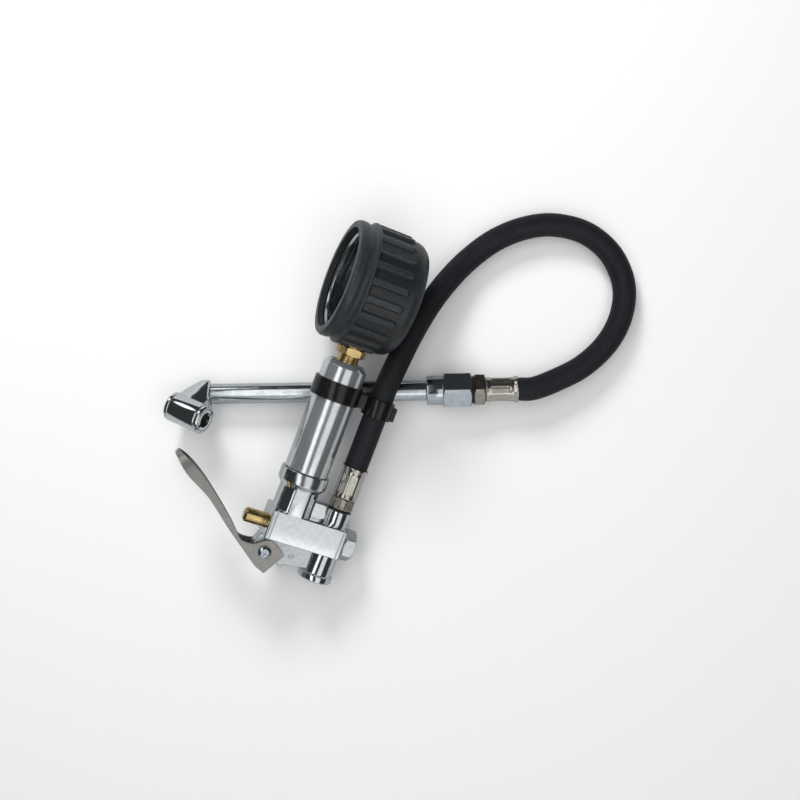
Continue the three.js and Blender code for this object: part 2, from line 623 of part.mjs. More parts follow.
function hoseMeshes(gun) {
  const at = z => gun.localToWorld(new THREE.Vector3(PORT_X, 0, z));
  const path = hosePath(at(12), at(36), at(60), at(65));
  const along = at(12).sub(at(0)).normalize();
  const lineDirection = lineToBench(1).sub(lineToBench(0)).normalize();
  const length = path.getLength();
  const crownShare = 0.52;
  const endShare = 1 - 12 / length;
  const crown = path.getPointAt(crownShare);
  const endBend = path.getPointAt(endShare);
  const before = share => share - 1.5 / length;
  const after = share => share + 2 / length;
  const skived = ring(HOSE_BORE_R, 6.6, [0, 18.2]);
  const gunTail = placed(skived.clone(), at(-6), along);
  const stemTail = placed(skived.clone(), lineToBench(FERRULE_X[1] - 18.2), lineDirection);
  const knuckle = share => {
    const centre = path.getPointAt(share);
    const direction = path.getTangentAt(share);
    const bore = placed(rod(HOSE_BORE_R, [-9, 9], 10), centre, direction);
    return { solid: ball(BALL_R, centre), bore };
  };
  const crownKnuckle = knuckle(crownShare);
  const endKnuckle = knuckle(endShare);
  const gunPart = cut(join(hoseLength(path, 0, before(crownShare), 20), crownKnuckle.solid, gunTail),
    crownKnuckle.bore);
  const loop = cut(hoseLength(path, after(crownShare), before(endShare), 16), ball(CUP_R, crown));
  const loopPart = cut(join(loop, endKnuckle.solid), endKnuckle.bore);
  const stemPart = join(cut(hoseLength(path, after(endShare), 1, 3), ball(CUP_R, endBend)), stemTail);
  const loopMesh = named('hose_loop_section', benchToLocal(loopPart, crown), RUBBER);
  loopMesh.position.copy(crown);
  const stemMesh = named('hose_stem_section', benchToLocal(stemPart, endBend), RUBBER);
  stemMesh.position.copy(endBend);
  return [named('hose_gun_section', gunPart, RUBBER), loopMesh, stemMesh];
}

// ---------------------------------------------------------------- steel stem and chuck
function lineToBench(x) {
  const turn = new THREE.Euler(0, radians(-LINE_RISE), radians(LINE_SKEW), 'ZYX');
  return new THREE.Vector3(x, 0, 0).applyEuler(turn).add(new THREE.Vector3(...LINE_AT));
}

function stemAdaptor() {
  const [x0, x1] = ADAPTOR_X;
  const collar = rod(9.25, [x0 + GAP, x0 + 10.8], ROUND_FINE);
  const hex = hexagon(21, [x0 + 10.7, x1], 0);
  const spigot = rod(4.7, [x0 - 8, x0 + 1]);
  const hollow = rod(2.6, [x0 - 9, x1 - 8], 12);
  const socket = rod(5.2, [x1 - 9, x1 + 1]);
  return cut(join(collar, hex, spigot), hollow, socket);
}

function hoseNippleStem() {
  const [x0, x1] = NIPPLE_X;
  const thread = rod(4.8, [x0 - 9, x0 + 0.5]);
  const hex = hexagon(19, [x0, x1], 0);
  const barb = rod(4, [x1 - 0.5, x1 + 16]);
  return cut(join(thread, hex, barb), rod(PASSAGE_R, [x0 - 10, x1 + 17], 12));
}

function stemLine() {
  const line = new THREE.Group();
  line.rotation.order = 'ZYX';
  line.rotation.set(0, Math.PI / 2 - radians(LINE_RISE), radians(LINE_SKEW));
  line.position.set(...LINE_AT);
  const sleeve = named('ferrule_stem', ferrule(FERRULE_X[1] - FERRULE_X[0]), NICKEL);
  sleeve.position.z = FERRULE_X[0];
  line.add(
    named('stem_tube', ring(STEM_TUBE_BORE_R, STEM_TUBE_R, STEM_TUBE_X, 28), CHROME),
    named('stem_adaptor', stemAdaptor(), ZINC),
    named('nipple_o_ring', ring(5.3, 8.6, [ADAPTOR_X[1] + 0.2, NIPPLE_X[0] - 0.2]), RUBBER),
    named('hose_nipple_stem', hoseNippleStem(), NICKEL),
    sleeve,
  );
  return line;
}

// In the head's own frame X is along the stem, Y away from it in the leaning plane, and the barrel
// is turned in that plane.
function barrelSolid(solid) {
  return alongX(solid).rotateZ(radians(BARREL_TURN)).translate(...BARREL_AT, 0);
}

function driverSlot(end) {
  const depth = [BARREL_HALF - 1.5, BARREL_HALF + 1];
  return box([-1, 1], [-12, 12], end > 0 ? depth : depth.map(z => -z).reverse());
}

function chuckHead() {
  const x = STEM_TUBE_X[0] - GAP;
  const neck = plate([[x, -6.2], [x, 11], [x - 7.6, 21.4], [x - 12, 20], [x - 20.7, 7.4], [x - 14.4, 0.6],
    [x - 7, -5.4], [x - 3, -6.4]].reverse(), [-7, 7]);
  const half = BARREL_HALF;
  const barrel = barrelSolid(turned([[0, -half], [BARREL_R - 0.9, -half], [BARREL_R, 0.9 - half],
    [BARREL_R, half - 3.4], [BARREL_R - 0.5, half - 3], [BARREL_R - 0.5, half - 2.6], [BARREL_R, half - 2.2],
    [BARREL_R, half - 0.9], [BARREL_R - 0.9, half], [0, half]], 24));
  const spigot = alongX(rod(4.7, [x - 1, x + 8]));
  const bore = barrelSolid(rod(2.9, [-half - 1, half + 1]));
  const counterbores = [[-half - 1, -half + 6.2], [half - 6.2, half + 1]].map(span =>
    barrelSolid(rod(FOOT_R + GAP, span, 20)));
  const passage = alongX(rod(2, [x - 7, x + 9], 12));
  const drop = alongY(rod(1.9, [-1, 19], 12)).translate(x - 6, 0, 0);
  const slots = [-1, 1].map(end => barrelSolid(driverSlot(end)));
  return cut(join(neck, barrel, spigot), bore, ...counterbores, passage, drop, ...slots);
}

function footPieces(end, name) {
  const seal = end > 0 ? [BARREL_HALF - 5.9, BARREL_HALF - 2.9] : [2.9 - BARREL_HALF, 5.9 - BARREL_HALF];
  const retainer = end > 0 ? [BARREL_HALF - 2.6, BARREL_HALF] : [-BARREL_HALF, 2.6 - BARREL_HALF];
  return [
    named(`chuck_seal_${name}`, barrelSolid(ring(3.1, FOOT_R - 0.1, seal)), RUBBER),
    named(`seal_retainer_${name}`,
      barrelSolid(cut(ring(4.9, FOOT_R, retainer, 20), driverSlot(end))), CHROME),
  ];
}

function depressorPin() {
  return barrelSolid(turned([[0, -9.4], [1.2, -9.4], [1.2, -5], [2.3, -5], [2.3, 5], [1.2, 5], [1.2, 9.4],
    [0, 9.4]], 12));
}

function chuckGroup() {
  const head = new THREE.Group();
  head.rotation.order = 'ZYX';
  head.rotation.set(radians(180 - HEAD_LEAN), radians(-LINE_RISE), radians(LINE_SKEW));
  head.position.set(...LINE_AT);
  head.add(
    named('chuck_head', chuckHead(), CHROME),
    ...footPieces(1, 'near'),
    ...footPieces(-1, 'far'),
    named('depressor_pin', depressorPin(), BRASS),
  );
  return head;
}

// ---------------------------------------------------------------- the whole inflator
function gunGroups() {
  const stand = new THREE.Group();
  stand.rotation.order = 'ZXY';
  stand.rotation.set(radians(GUN_TILT - 90), 0, radians(-GUN_YAW));
  stand.position.set(...GUN_AT);
  const gun = new THREE.Group();
  gun.rotation.z = radians(GUN_TURN);
  stand.add(gun);
  const sleeve = named('ferrule_gun', ferrule(20.2), NICKEL);
  sleeve.position.set(PORT_X, 0, -8.2);
  const gasket = named('port_gasket', ring(5.2, 7.4, [PORT_TOP + 0.2, PORT_TOP + 0.8]), RUBBER);
  gasket.position.x = PORT_X;
  const nipple = named('hose_nipple_gun', hoseNippleGun(), NICKEL);
  nipple.position.x = PORT_X;
  gun.add(
    named('valve_body', valveBody(), SATIN),
    named('handle_tube', handleTube(), SATIN),
    named('handle_o_ring', roundRing(9.95, 0.7, 5.5, ROUND_FINE), RUBBER),
    named('gauge_stem', gaugeStem(), BRASS),
    named('hose_clip', hoseClip(), PLASTIC),
    sleeve, gasket, nipple,
    valveLine(),
    leverGroup(),
    gaugeGroup(),
  );
  return { stand, gun };
}

function inflator() {
  const whole = new THREE.Group();
  const { stand, gun } = gunGroups();
  whole.add(stand);
  whole.updateMatrixWorld(true);
  whole.add(...hoseMeshes(gun), stemLine(), chuckGroup());
  whole.updateMatrixWorld(true);
  const bounds = new THREE.Box3().setFromObject(whole, true);
  const middle = bounds.getCenter(new THREE.Vector3());
  whole.position.set(-middle.x, -middle.y, -bounds.min.z);
  return whole;
}

export default inflator();
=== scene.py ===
"""Tyre inflator with gauge, lying on a pale bench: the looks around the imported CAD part.

Shapes are written in millimetres in their own part's frame, and placed in metres where the CAD's
joints and solids are.
"""
import json
import math

import bmesh
import bpy
from mathutils import Matrix, Vector


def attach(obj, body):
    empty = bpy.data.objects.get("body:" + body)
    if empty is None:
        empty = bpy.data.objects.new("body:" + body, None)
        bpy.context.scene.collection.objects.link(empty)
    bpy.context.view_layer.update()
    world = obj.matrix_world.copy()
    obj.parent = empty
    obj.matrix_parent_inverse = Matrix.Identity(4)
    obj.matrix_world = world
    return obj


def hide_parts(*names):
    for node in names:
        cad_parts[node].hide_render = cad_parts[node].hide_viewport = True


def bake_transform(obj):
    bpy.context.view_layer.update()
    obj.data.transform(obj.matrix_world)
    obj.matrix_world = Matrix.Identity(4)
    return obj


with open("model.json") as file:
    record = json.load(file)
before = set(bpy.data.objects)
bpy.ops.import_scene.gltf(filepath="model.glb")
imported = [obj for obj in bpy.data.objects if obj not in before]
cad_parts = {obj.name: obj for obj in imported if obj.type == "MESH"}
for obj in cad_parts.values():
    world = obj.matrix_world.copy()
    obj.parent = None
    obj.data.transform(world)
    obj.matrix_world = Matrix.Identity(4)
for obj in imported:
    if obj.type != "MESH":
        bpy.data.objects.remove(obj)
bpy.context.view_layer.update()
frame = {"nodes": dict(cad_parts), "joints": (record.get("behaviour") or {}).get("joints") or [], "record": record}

MM = 0.001
FINE = 112                       # facets on large round pieces
SMALL = 64                       # facets on small round pieces
OWN_PLACE = "own_place"          # each corner's place in its part's own frame

# ---------------------------------------------------------------- dimensions, in millimetres
HANDLE_R = 13.9
HANDLE_TOP = 72.5
COLLAR_R = 15.5
COLUMN_R = 12.6
STEM_R = 6.6
BLOCK_X = (-13.4, 36.4)
BLOCK_HALF_Y = 13.3
BLOCK_Z = (-45.2, -26)
VALVE_Z = -36.8
PORT_X = 29
PORT_R = 8
PORT_TOP = -16.8
INLET_R = 9.6
INLET_RING_R = 11
INLET_MOUTH = -63.6
INLET_BORE_R = 6.4
PIN_R = 4.6
PIN_TIP = -27.5
PIVOT = (-8.6, -54.4)
LEVER_HALF_W = 8.6
LEVER_SHEET = 1.4
GAUGE_Z = 119.8
SEAT_X = 13.3                    # step in the valve bore that the seal closes on
CHAMBER_R = 7.9
RIDGE_R = 38.55                  # the boot's ridge in front of the ribs
BOOT_LIP_R = 36.9
BOOT_RIB_R = 38.3
BOOT_BODY_R = 36.5
BOOT_RIBS = 22
BOOT_BORE_R = 31.9
DIAL_Z = 8
DIAL_DIVISIONS = 60
DIAL_LABEL_STEP = 15             # divisions from one number to the next
POINTER_ZERO = 126               # degrees from the dial's middle line
HOSE_R = 7.75
HOSE_SKIN_R = 7.45               # the hose as seen, a little inside its solid's corners
SKIVED_R = 6.6                   # where a sleeve grips the hose
HOSE_STEP = 1.6                  # between the rings of the hose's skin
SLEEVE_R = 7.75
SLEEVE_BORE_R = 6.9
SLEEVE_FLATS = 8
SLEEVE_PRESS = 0.3               # how far each flat is pressed in
STEM_TUBE_R = 6.35
STEM_TUBE_X = (-120, 16.6)
ADAPTOR_X = (16.6, 45.3)
NIPPLE_X = (47, 53.8)
FERRULE_X = (54.1, 74.7)
BARREL_R = 9.3
BARREL_HALF = 13.1
BARREL_AT = (-132.9, 16.4)
BARREL_TURN = 30.5
FOOT_R = 7.1
LINE_AT = (0, 5.8, 11.9)
PLUG_ACROSS = 17.8               # hexagons, across their flats
NECK_ACROSS = 16.5
GUN_NIPPLE_ACROSS = 13.4
ADAPTOR_ACROSS = 21
STEM_NIPPLE_ACROSS = 19
PIVOT_NUT_ACROSS = 8
CAMERA_HEIGHT = 0.8              # metres over the bench
CAMERA_LENS = 55.81
BENCH_HALF = 3                   # metres

# ---------------------------------------------------------------- frames taken from the CAD
JOINTS = {joint["name"]: joint for joint in frame["joints"]}
MOUNTS = {mount["name"]: mount for mount in frame["record"]["mounts"]}


def axes(x, y, z, origin):
    """A matrix with those axes at that origin, in metres."""
    matrix = Matrix((x, y, z)).transposed().to_4x4()
    matrix.translation = origin
    return matrix


def shift(x=0.0, y=0.0, z=0.0):
    return Matrix.Translation((x * MM, y * MM, z * MM))


def turn(degrees, axis):
    return Matrix.Rotation(math.radians(degrees), 4, axis)


def gun_frame():
    x = Vector(JOINTS["plunger_slide"]["axis"]).normalized()
    y = Vector(JOINTS["lever_hinge"]["axis"]).normalized()
    z = x.cross(y).normalized()
    pivot = Vector(JOINTS["lever_hinge"]["pos_m"])
    return axes(x, z.cross(x), z, pivot - (x * PIVOT[0] + z * PIVOT[1]) * MM)


def line_frame():
    """X along the steel stem, from the rings of corners at the two ends of the CAD's tube."""
    corners = [v.co for v in frame["nodes"]["stem_tube"].data.vertices]
    middle = sum(v.x for v in corners) / len(corners)
    near = [v for v in corners if v.x < middle]
    far = [v for v in corners if v.x >= middle]
    a = sum(near, Vector()) / len(near)
    b = sum(far, Vector()) / len(far)
    x = (b - a).normalized()
    z = (Vector((0, 0, 1)) - x * x.z).normalized()
    return axes(x, z.cross(x), z, a - x * STEM_TUBE_X[0] * MM)


def head_frame(line):
    x = line.to_3x3().col[0]
    z = x.cross(Vector(MOUNTS["chuck_foot_near"]["axis"])).normalized()
    return axes(x, z.cross(x), z, line.translation)


GUN = gun_frame()
VALVE = GUN @ shift(z=VALVE_Z) @ turn(90, "Y")
LEVER = GUN @ shift(PIVOT[0], 0, PIVOT[1])
GAUGE = GUN @ shift(z=GAUGE_Z) @ turn(-90, "Y")
LINE = line_frame()
HEAD = head_frame(LINE)
BARREL = HEAD @ shift(*BARREL_AT) @ turn(BARREL_TURN, "Z") @ turn(90, "Y")
BENCH = LINE.translation - Vector(LINE_AT) * MM

ACROSS_Y = Matrix(((1, 0, 0, 0), (0, 0, -1, 0), (0, 1, 0, 0), (0, 0, 0, 1)))
ALONG_X = Matrix(((0, 0, 1, 0), (1, 0, 0, 0), (0, 1, 0, 0), (0, 0, 0, 1)))
Z_TO_X = turn(90, "Y")
Z_TO_Y = turn(-90, "X")


# ---------------------------------------------------------------- outlines
def eased(points, radius, closed=False, steps=3):
    """The same line of points with each corner rounded."""
    result = []
    count = len(points)
    for i, point in enumerate(points):
        here = Vector(point)
        before, after = Vector(points[i - 1]) - here, Vector(points[(i + 1) % count]) - here
        ends = not closed and i in (0, count - 1)
        if ends or before.length < 1e-6 or after.length < 1e-6:
            result.append(tuple(here))
            continue
        inside = before.angle(after)
        if inside > math.radians(172) or inside < math.radians(4):
            result.append(tuple(here))
            continue
        reach = min(radius / math.tan(inside / 2), 0.42 * before.length, 0.42 * after.length)
        a = here + before.normalized() * reach
        b = here + after.normalized() * reach
        for k in range(steps + 1):
            t = k / steps
            result.append(tuple(a * (1 - t) ** 2 + here * 2 * t * (1 - t) + b * t * t))
    return result


def inset(outline, depth):
    """The closed outline moved inwards by depth, with its corners kept sharp."""
    following = outline[1:] + outline[:1]
    area = sum(a[0] * b[1] - b[0] * a[1] for a, b in zip(outline, following))
    side = math.copysign(1, area)
    result = []
    for before, point, after in zip(outline[-1:] + outline[:-1], outline, following):
        here = Vector(point)
        first = (here - Vector(before)).normalized()
        second = (Vector(after) - here).normalized()
        a = Vector((-first.y, first.x)) * side
        b = Vector((-second.y, second.x)) * side
        result.append(tuple(here + (a + b) * depth / (1 + a.dot(b))))
    return result


def arc(radius, start, end, steps):
    angles = (math.radians(start + (end - start) * i / steps) for i in range(steps + 1))
    return [(radius * math.cos(a), radius * math.sin(a)) for a in angles]


def smooth(points, steps):
    """A smooth line through the points, with evenly spaced shares of each stretch."""
    result = []
    last = len(points) - 1
    for i in range(steps + 1):
        place = last * i / steps
        k = min(int(place), last - 1)
        t = place - k
        p = [Vector(points[min(max(k + j, 0), last)]) for j in (-1, 0, 1, 2)]
        v0, v1 = (p[2] - p[0]) * 0.5, (p[3] - p[1]) * 0.5
        result.append(tuple((2 * p[1] - 2 * p[2] + v0 + v1) * t ** 3
                            + (-3 * p[1] + 3 * p[2] - 2 * v0 - v1) * t ** 2 + v0 * t + p[1]))
    return result


# ---------------------------------------------------------------- solids
def lathe(profile, facets=FINE, wall=None):
    """A closed solid turned about Z from (radius, height) points. wall(radius, height, angle)
    may change the radius to make flutes and ribs."""
    bm = bmesh.new()
    rings = []
    for r, z in profile:
        if r < 1e-6:
            rings.append([bm.verts.new((0, 0, z))])
            continue
        ring = []
        for i in range(facets):
            a = 2 * math.pi * i / facets
            q = wall(r, z, a) if wall else r
            ring.append(bm.verts.new((q * math.cos(a), q * math.sin(a), z)))
        rings.append(ring)
    pairs = list(zip(rings, rings[1:]))
    if profile[0][0] > 1e-6:
        pairs.append((rings[-1], rings[0]))
    for a, b in pairs:
        for i in range(facets):
            j = (i + 1) % facets
            corners = [a[i % len(a)], a[j % len(a)], b[j % len(b)], b[i % len(b)]]
            corners = [v for k, v in enumerate(corners) if v is not corners[k - 1]]
            bm.faces.new(corners)
    bmesh.ops.recalc_face_normals(bm, faces=bm.faces)
    return bm


def rod(radius, z0, z1, facets=SMALL, ease=0.0):
    profile = [(0, z0), (radius, z0), (radius, z1), (0, z1)]
    return lathe(eased(profile, ease) if ease else profile, facets)


def ring(inner, outer, z0, z1, facets=SMALL, ease=0.0):
    profile = [(inner, z0), (outer, z0), (outer, z1), (inner, z1)]
    return lathe(eased(profile, ease, closed=True) if ease else profile, facets)


def stacked(levels):
    """A closed solid from outlines of equal length at rising heights: (outline, z) pairs."""
    bm = bmesh.new()
    rings = [[bm.verts.new((x, y, z)) for x, y in outline] for outline, z in levels]
    bm.faces.new(list(reversed(rings[0])))
    bm.faces.new(rings[-1])
    for a, b in zip(rings, rings[1:]):
        for i in range(len(a)):
            j = (i + 1) % len(a)
            bm.faces.new((a[i], a[j], b[j], b[i]))
    bmesh.ops.recalc_face_normals(bm, faces=bm.faces)
    return bm


def prism(outline, z0, z1):
    return stacked([(outline, z0), (outline, z1)])


def soft_prism(outline, z0, z1, corner, rim, steps=3):
    """A prism with rounded corners and rounded rims."""
    turns = [math.pi / 2 * k / steps for k in range(steps + 1)]
    rise = [(rim * (1 - math.sin(a)), rim * (1 - math.cos(a))) for a in turns]
    levels = [(depth, z0 + up) for depth, up in rise] + [(depth, z1 - up) for depth, up in reversed(rise)]
    return stacked([(eased(inset(outline, depth), max(corner - depth, 0.15), closed=True), z)
                    for depth, z in levels])


def block(x, y, z, bevel=0.0):
    bm = bmesh.new()
    bmesh.ops.create_cube(bm, size=1)
    middle = [(a + b) / 2 for a, b in (x, y, z)]
    size = [b - a for a, b in (x, y, z)]
    for v in bm.verts:
        v.co = Vector(m + s * c for m, s, c in zip(middle, size, v.co))
    if bevel:
        bmesh.ops.bevel(bm, geom=bm.edges[:], offset=bevel, segments=3, profile=0.5, affect="EDGES")
    return bm


def placed(bm, *matrices):
    """The solid moved by matrices written for millimetres."""
    for matrix in reversed(matrices):
        bm.transform(matrix)
    return bm


def offset(x=0.0, y=0.0, z=0.0):
    return Matrix.Translation((x, y, z))


def as_object(bm, name="solid"):
    mesh = bpy.data.meshes.new(name)
    bm.to_mesh(mesh)
    bm.free()
    obj = bpy.data.objects.new(name, mesh)
    bpy.context.scene.collection.objects.link(obj)
    return obj


def combined(operation, base, *solids):
    """base, joined with, cut by or kept inside each of the solids in turn, as one new solid."""
    for solid in solids:
        obj, tool = as_object(base), as_object(solid)
        modifier = obj.modifiers.new("combine", "BOOLEAN")
        modifier.operation, modifier.object, modifier.solver = operation, tool, "EXACT"
        evaluated = obj.evaluated_get(bpy.context.evaluated_depsgraph_get())
        base = bmesh.new()
        base.from_mesh(evaluated.to_mesh())
        evaluated.to_mesh_clear()
        for used in (obj, tool):
            mesh = used.data
            bpy.data.objects.remove(used)
            bpy.data.meshes.remove(mesh)
        bmesh.ops.remove_doubles(base, verts=base.verts, dist=1e-4)
        bmesh.ops.dissolve_degenerate(base, edges=base.edges, dist=1e-4)
    return base


def joined(base, *solids):
    return combined("UNION", base, *solids)


def cut(base, *solids):
    return combined("DIFFERENCE", base, *solids)


def gathered(*solids):
    """Separate solids kept as they are in one mesh."""
    whole = bmesh.new()
    for solid in solids:
        mesh = bpy.data.meshes.new("part")
        solid.to_mesh(mesh)
        solid.free()
        whole.from_mesh(mesh)
        bpy.data.meshes.remove(mesh)
    return whole


def hexagon(across, z0, z1, facet_turn=0, share=0.6):
    corner = across / math.sqrt(3)
    bevel = (corner - across / 2) * share
    shoulders = [(0, z0), (across / 2 - 0.1, z0), (corner, z0 + bevel), (corner, z1 - bevel),
                 (across / 2 - 0.1, z1), (0, z1)]
    outline = eased(arc(corner, facet_turn, facet_turn + 300, 5), 0.35, closed=True, steps=2)
    return combined("INTERSECT", prism(outline, z0, z1), lathe(shoulders, FINE))


def piece(name, bm, place, body, material, *nodes, sharp=32):
    """Turns a solid in millimetres into a piece that stands for those CAD nodes. Each corner
    keeps its place in the part's own frame, for materials that follow the part."""
    limit = math.radians(sharp)
    bm.normal_update()
    for edge in bm.edges:
        edge.smooth = len(edge.link_faces) == 2 and edge.calc_face_angle(0) < limit
    for face in bm.faces:
        face.smooth = True
    own = bm.verts.layers.float_vector.new(OWN_PLACE)
    for vert in bm.verts:
        vert[own] = vert.co * MM
    bm.transform(place @ Matrix.Diagonal((MM, MM, MM, 1)))
    obj = as_object(bm, name)
    obj.data.materials.append(material)
    if body:
        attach(obj, body)
    if nodes:
        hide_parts(*nodes)
    return obj


# ---------------------------------------------------------------- materials
class Nodes:
    """Shorthand for one material's node tree."""

    def __init__(self, tree):
        self.tree = tree
        tree.nodes.clear()

    def add(self, kind, inputs=None, **settings):
        node = self.tree.nodes.new(kind)
        for key, value in settings.items():
            setattr(node, key, value)
        for key, value in (inputs or {}).items():
            if isinstance(value, bpy.types.NodeSocket):
                self.tree.links.new(value, node.inputs[key])
            else:
                node.inputs[key].default_value = value
        return node

    def math(self, operation, a, b=0.0):
        return self.add("ShaderNodeMath", {0: a, 1: b}, operation=operation).outputs[0]

    def between(self, value, low, high, to_low=0.0, to_high=1.0):
        """Eases from to_low to to_high as the value goes from low to high."""
        return self.add("ShaderNodeMapRange", {0: value, 1: low, 2: high, 3: to_low, 4: to_high},
                        interpolation_type="SMOOTHSTEP").outputs[0]

    def mix(self, share, a, b):
        node = self.add("ShaderNodeMix", {0: share}, data_type="RGBA")
        for socket, value in ((node.inputs[6], a), (node.inputs[7], b)):
            if isinstance(value, bpy.types.NodeSocket):
                self.tree.links.new(value, socket)
            else:
                socket.default_value = (*value, 1)
        return node.outputs[2]

    def noise(self, place, scale, detail=3.0):
        return self.add("ShaderNodeTexNoise", {"Vector": place, "Scale": scale, "Detail": detail,
                                               "Roughness": 0.55}).outputs[0]


def surface(name, color, metallic, roughness, *, tone=0.06, tone_scale=250, rough_spread=0.06,
            rough_scale=400, bumps=(), stretch=None, edge=0.25, edge_wear_and_highlight=None, extra=None):
    """A procedural material. bumps are (scale per metre, height in mm, stretched or not). With a
    stretch the pattern follows the part's own frame."""
    material = bpy.data.materials.new(name)
    material.use_nodes = True
    n = Nodes(material.node_tree)
    if stretch:
        place = n.add("ShaderNodeAttribute", attribute_name=OWN_PLACE).outputs["Vector"]
    else:
        place = n.add("ShaderNodeTexCoord").outputs["Object"]
    drawn = n.add("ShaderNodeMapping", {"Vector": place, "Scale": stretch or (1, 1, 1)}).outputs[0]
    normal = n.add("ShaderNodeBevel", {"Radius": edge * MM}, samples=4).outputs[0]
    rounded = normal
    for scale, height, use_stretch in bumps:
        field = n.noise(drawn if use_stretch else place, scale, 4.0)
        normal = n.add("ShaderNodeBump", {"Height": field, "Distance": height * MM, "Strength": 1.0,
                                          "Normal": normal}).outputs[0]
    blotch = n.between(n.noise(place, tone_scale, 5.0), 0.3, 0.7)
    low = tuple(c * (1 - tone) for c in color)
    high = tuple(min(1, c * (1 + tone)) for c in color)
    shade = n.mix(blotch, low, high)
    gloss = n.between(n.noise(drawn, rough_scale, 4.0), 0.3, 0.7,
                      max(0.02, roughness - rough_spread), roughness + rough_spread)
    # Wear and painted highlight: the colour is lightened along rounded edges, through a ragged noise mask.
    if edge_wear_and_highlight:
        flat = n.add("ShaderNodeNewGeometry").outputs["True Normal"]
        agree = n.add("ShaderNodeVectorMath", {0: rounded, 1: flat}, operation="DOT_PRODUCT")
        agree = agree.outputs["Value"]
        ragged = n.math("MULTIPLY", n.between(agree, 0.995, 0.9), n.between(n.noise(place, 900), 0.35, 0.6))
        shade = n.mix(ragged, shade, edge_wear_and_highlight)
    parts = {"Base Color": shade, "Metallic": metallic, "Roughness": gloss, "Normal": normal}
    if extra:
        parts.update(extra(n, place, parts))
    shader = n.add("ShaderNodeBsdfPrincipled", parts)
    n.add("ShaderNodeOutputMaterial", {"Surface": shader.outputs[0]})
    return material


def cast_skin(n, place, parts):
    """Round parts are polished, the block's flat faces are satin and the lug keeps its rough skin."""
    axis = n.add("ShaderNodeSeparateXYZ", {0: place})
    flat = n.between(n.math("ABSOLUTE", axis.outputs[1]), 0.0128, 0.0131)
    under = n.math("MULTIPLY", n.between(axis.outputs[2], -0.0452, -0.0464),
                   n.between(axis.outputs[0], 0.0222, 0.0212))
    grit = n.add("ShaderNodeBump", {"Height": n.noise(place, 900, 5.0), "Distance": 0.2 * MM,
                                    "Strength": under, "Normal": parts["Normal"]}).outputs[0]
    rough = n.math("ADD", parts["Roughness"], n.math("MULTIPLY", flat, 0.14))
    rough = n.math("ADD", rough, n.math("MULTIPLY", under, 0.3))
    return {"Normal": grit, "Roughness": rough}


def gap_painted_shade(n, place, parts):
    """Painted shade: the gaps between the boot's ridge and ribs are darkened in colour, where shade falls between
    them.
    """
    axis = n.add("ShaderNodeSeparateXYZ", {0: place})
    flat = n.add("ShaderNodeCombineXYZ", {0: axis.outputs[0], 1: axis.outputs[1]})
    reach = n.add("ShaderNodeVectorMath", {0: flat.outputs[0]}, operation="LENGTH").outputs["Value"]
    behind = n.between(axis.outputs[2], 0.0125, 0.0105)
    before = n.between(axis.outputs[2], -0.0165, -0.0125)
    low = n.between(reach, (BOOT_BODY_R + 1.2) * MM, (BOOT_BODY_R + 0.2) * MM)
    # painted shade mask: low between the ribs, within the ribbed band behind the ridge
    gap = n.math("MULTIPLY", n.math("MULTIPLY", low, behind), before)
    share = n.math("MULTIPLY", gap, 0.65)
    return {"Base Color": n.mix(share, parts["Base Color"], (0.008, 0.009, 0.010))}


def bench_tone(n, place, parts):
    """The bench is pale to the eye, also far off, and greyer where bright metal mirrors it."""
    path = n.add("ShaderNodeLightPath")
    spot = n.add("ShaderNodeNewGeometry").outputs["Position"]
    away = n.add("ShaderNodeVectorMath", {0: spot}, operation="LENGTH").outputs["Value"]
    glow = n.math("MULTIPLY", path.outputs["Is Camera Ray"], n.between(away, 0.4, 1.7, 0.05, 0.84))
    return {"Base Color": n.mix(path.outputs["Is Glossy Ray"], parts["Base Color"], (0.5, 0.51, 0.52)),
            "Emission Color": (0.97, 0.985, 1, 1), "Emission Strength": glow}


CHROME = surface("polished chrome", (0.84, 0.87, 0.89), 1, 0.06, tone=0.02, rough_spread=0.025,
                 bumps=((130, 0.04, False),))
TUBE = surface("plated tube", (0.68, 0.73, 0.76), 1, 0.15, tone=0.08, rough_spread=0.06,
               stretch=(0.25, 1, 1), bumps=((260, 0.06, True), (90, 0.02, False)))
CASTING = surface("plated casting", (0.80, 0.84, 0.86), 1, 0.07, tone=0.05, tone_scale=420,
                  rough_spread=0.02, stretch=(1, 1, 1),
                  bumps=((150, 0.04, False), (700, 0.006, False)), edge=0.45, extra=cast_skin)
SATIN = surface("satin aluminium", (0.78, 0.82, 0.84), 0.84, 0.17, tone=0.05, rough_spread=0.05,
                stretch=(1, 1, 0.06), rough_scale=900, bumps=((1000, 0.009, True),), edge=0.3)
SATIN_PLUG = surface("satin plug", (0.74, 0.77, 0.79), 1, 0.26, tone=0.05, rough_spread=0.05,
                     bumps=((700, 0.014, False),), edge=0.45)
BRIGHT_RING = surface("bright ring", (0.62, 0.65, 0.67), 1, 0.22, tone=0.04, rough_spread=0.04,
                      bumps=((400, 0.002, False),))
ZINC = surface("zinc plate", (0.66, 0.73, 0.78), 1, 0.16, tone=0.07, rough_spread=0.06,
               bumps=((500, 0.02, False),), edge=0.4)
NICKEL = surface("nickel plate", (0.66, 0.63, 0.57), 1, 0.2, tone=0.06, rough_spread=0.05,
                 bumps=((500, 0.005, False),), edge=0.3)
DARK_NICKEL = surface("dull nickel", (0.44, 0.41, 0.35), 1, 0.26, tone=0.1, rough_spread=0.06,
                      bumps=((600, 0.008, False),), edge=0.35)
SHEET = surface("pressed sheet", (0.385, 0.375, 0.355), 0.92, 0.32, tone=0.05, tone_scale=300,
                rough_spread=0.05, stretch=(0.06, 1, 1), rough_scale=1500,
                bumps=((2200, 0.003, True), (300, 0.01, False)), edge=0.3)
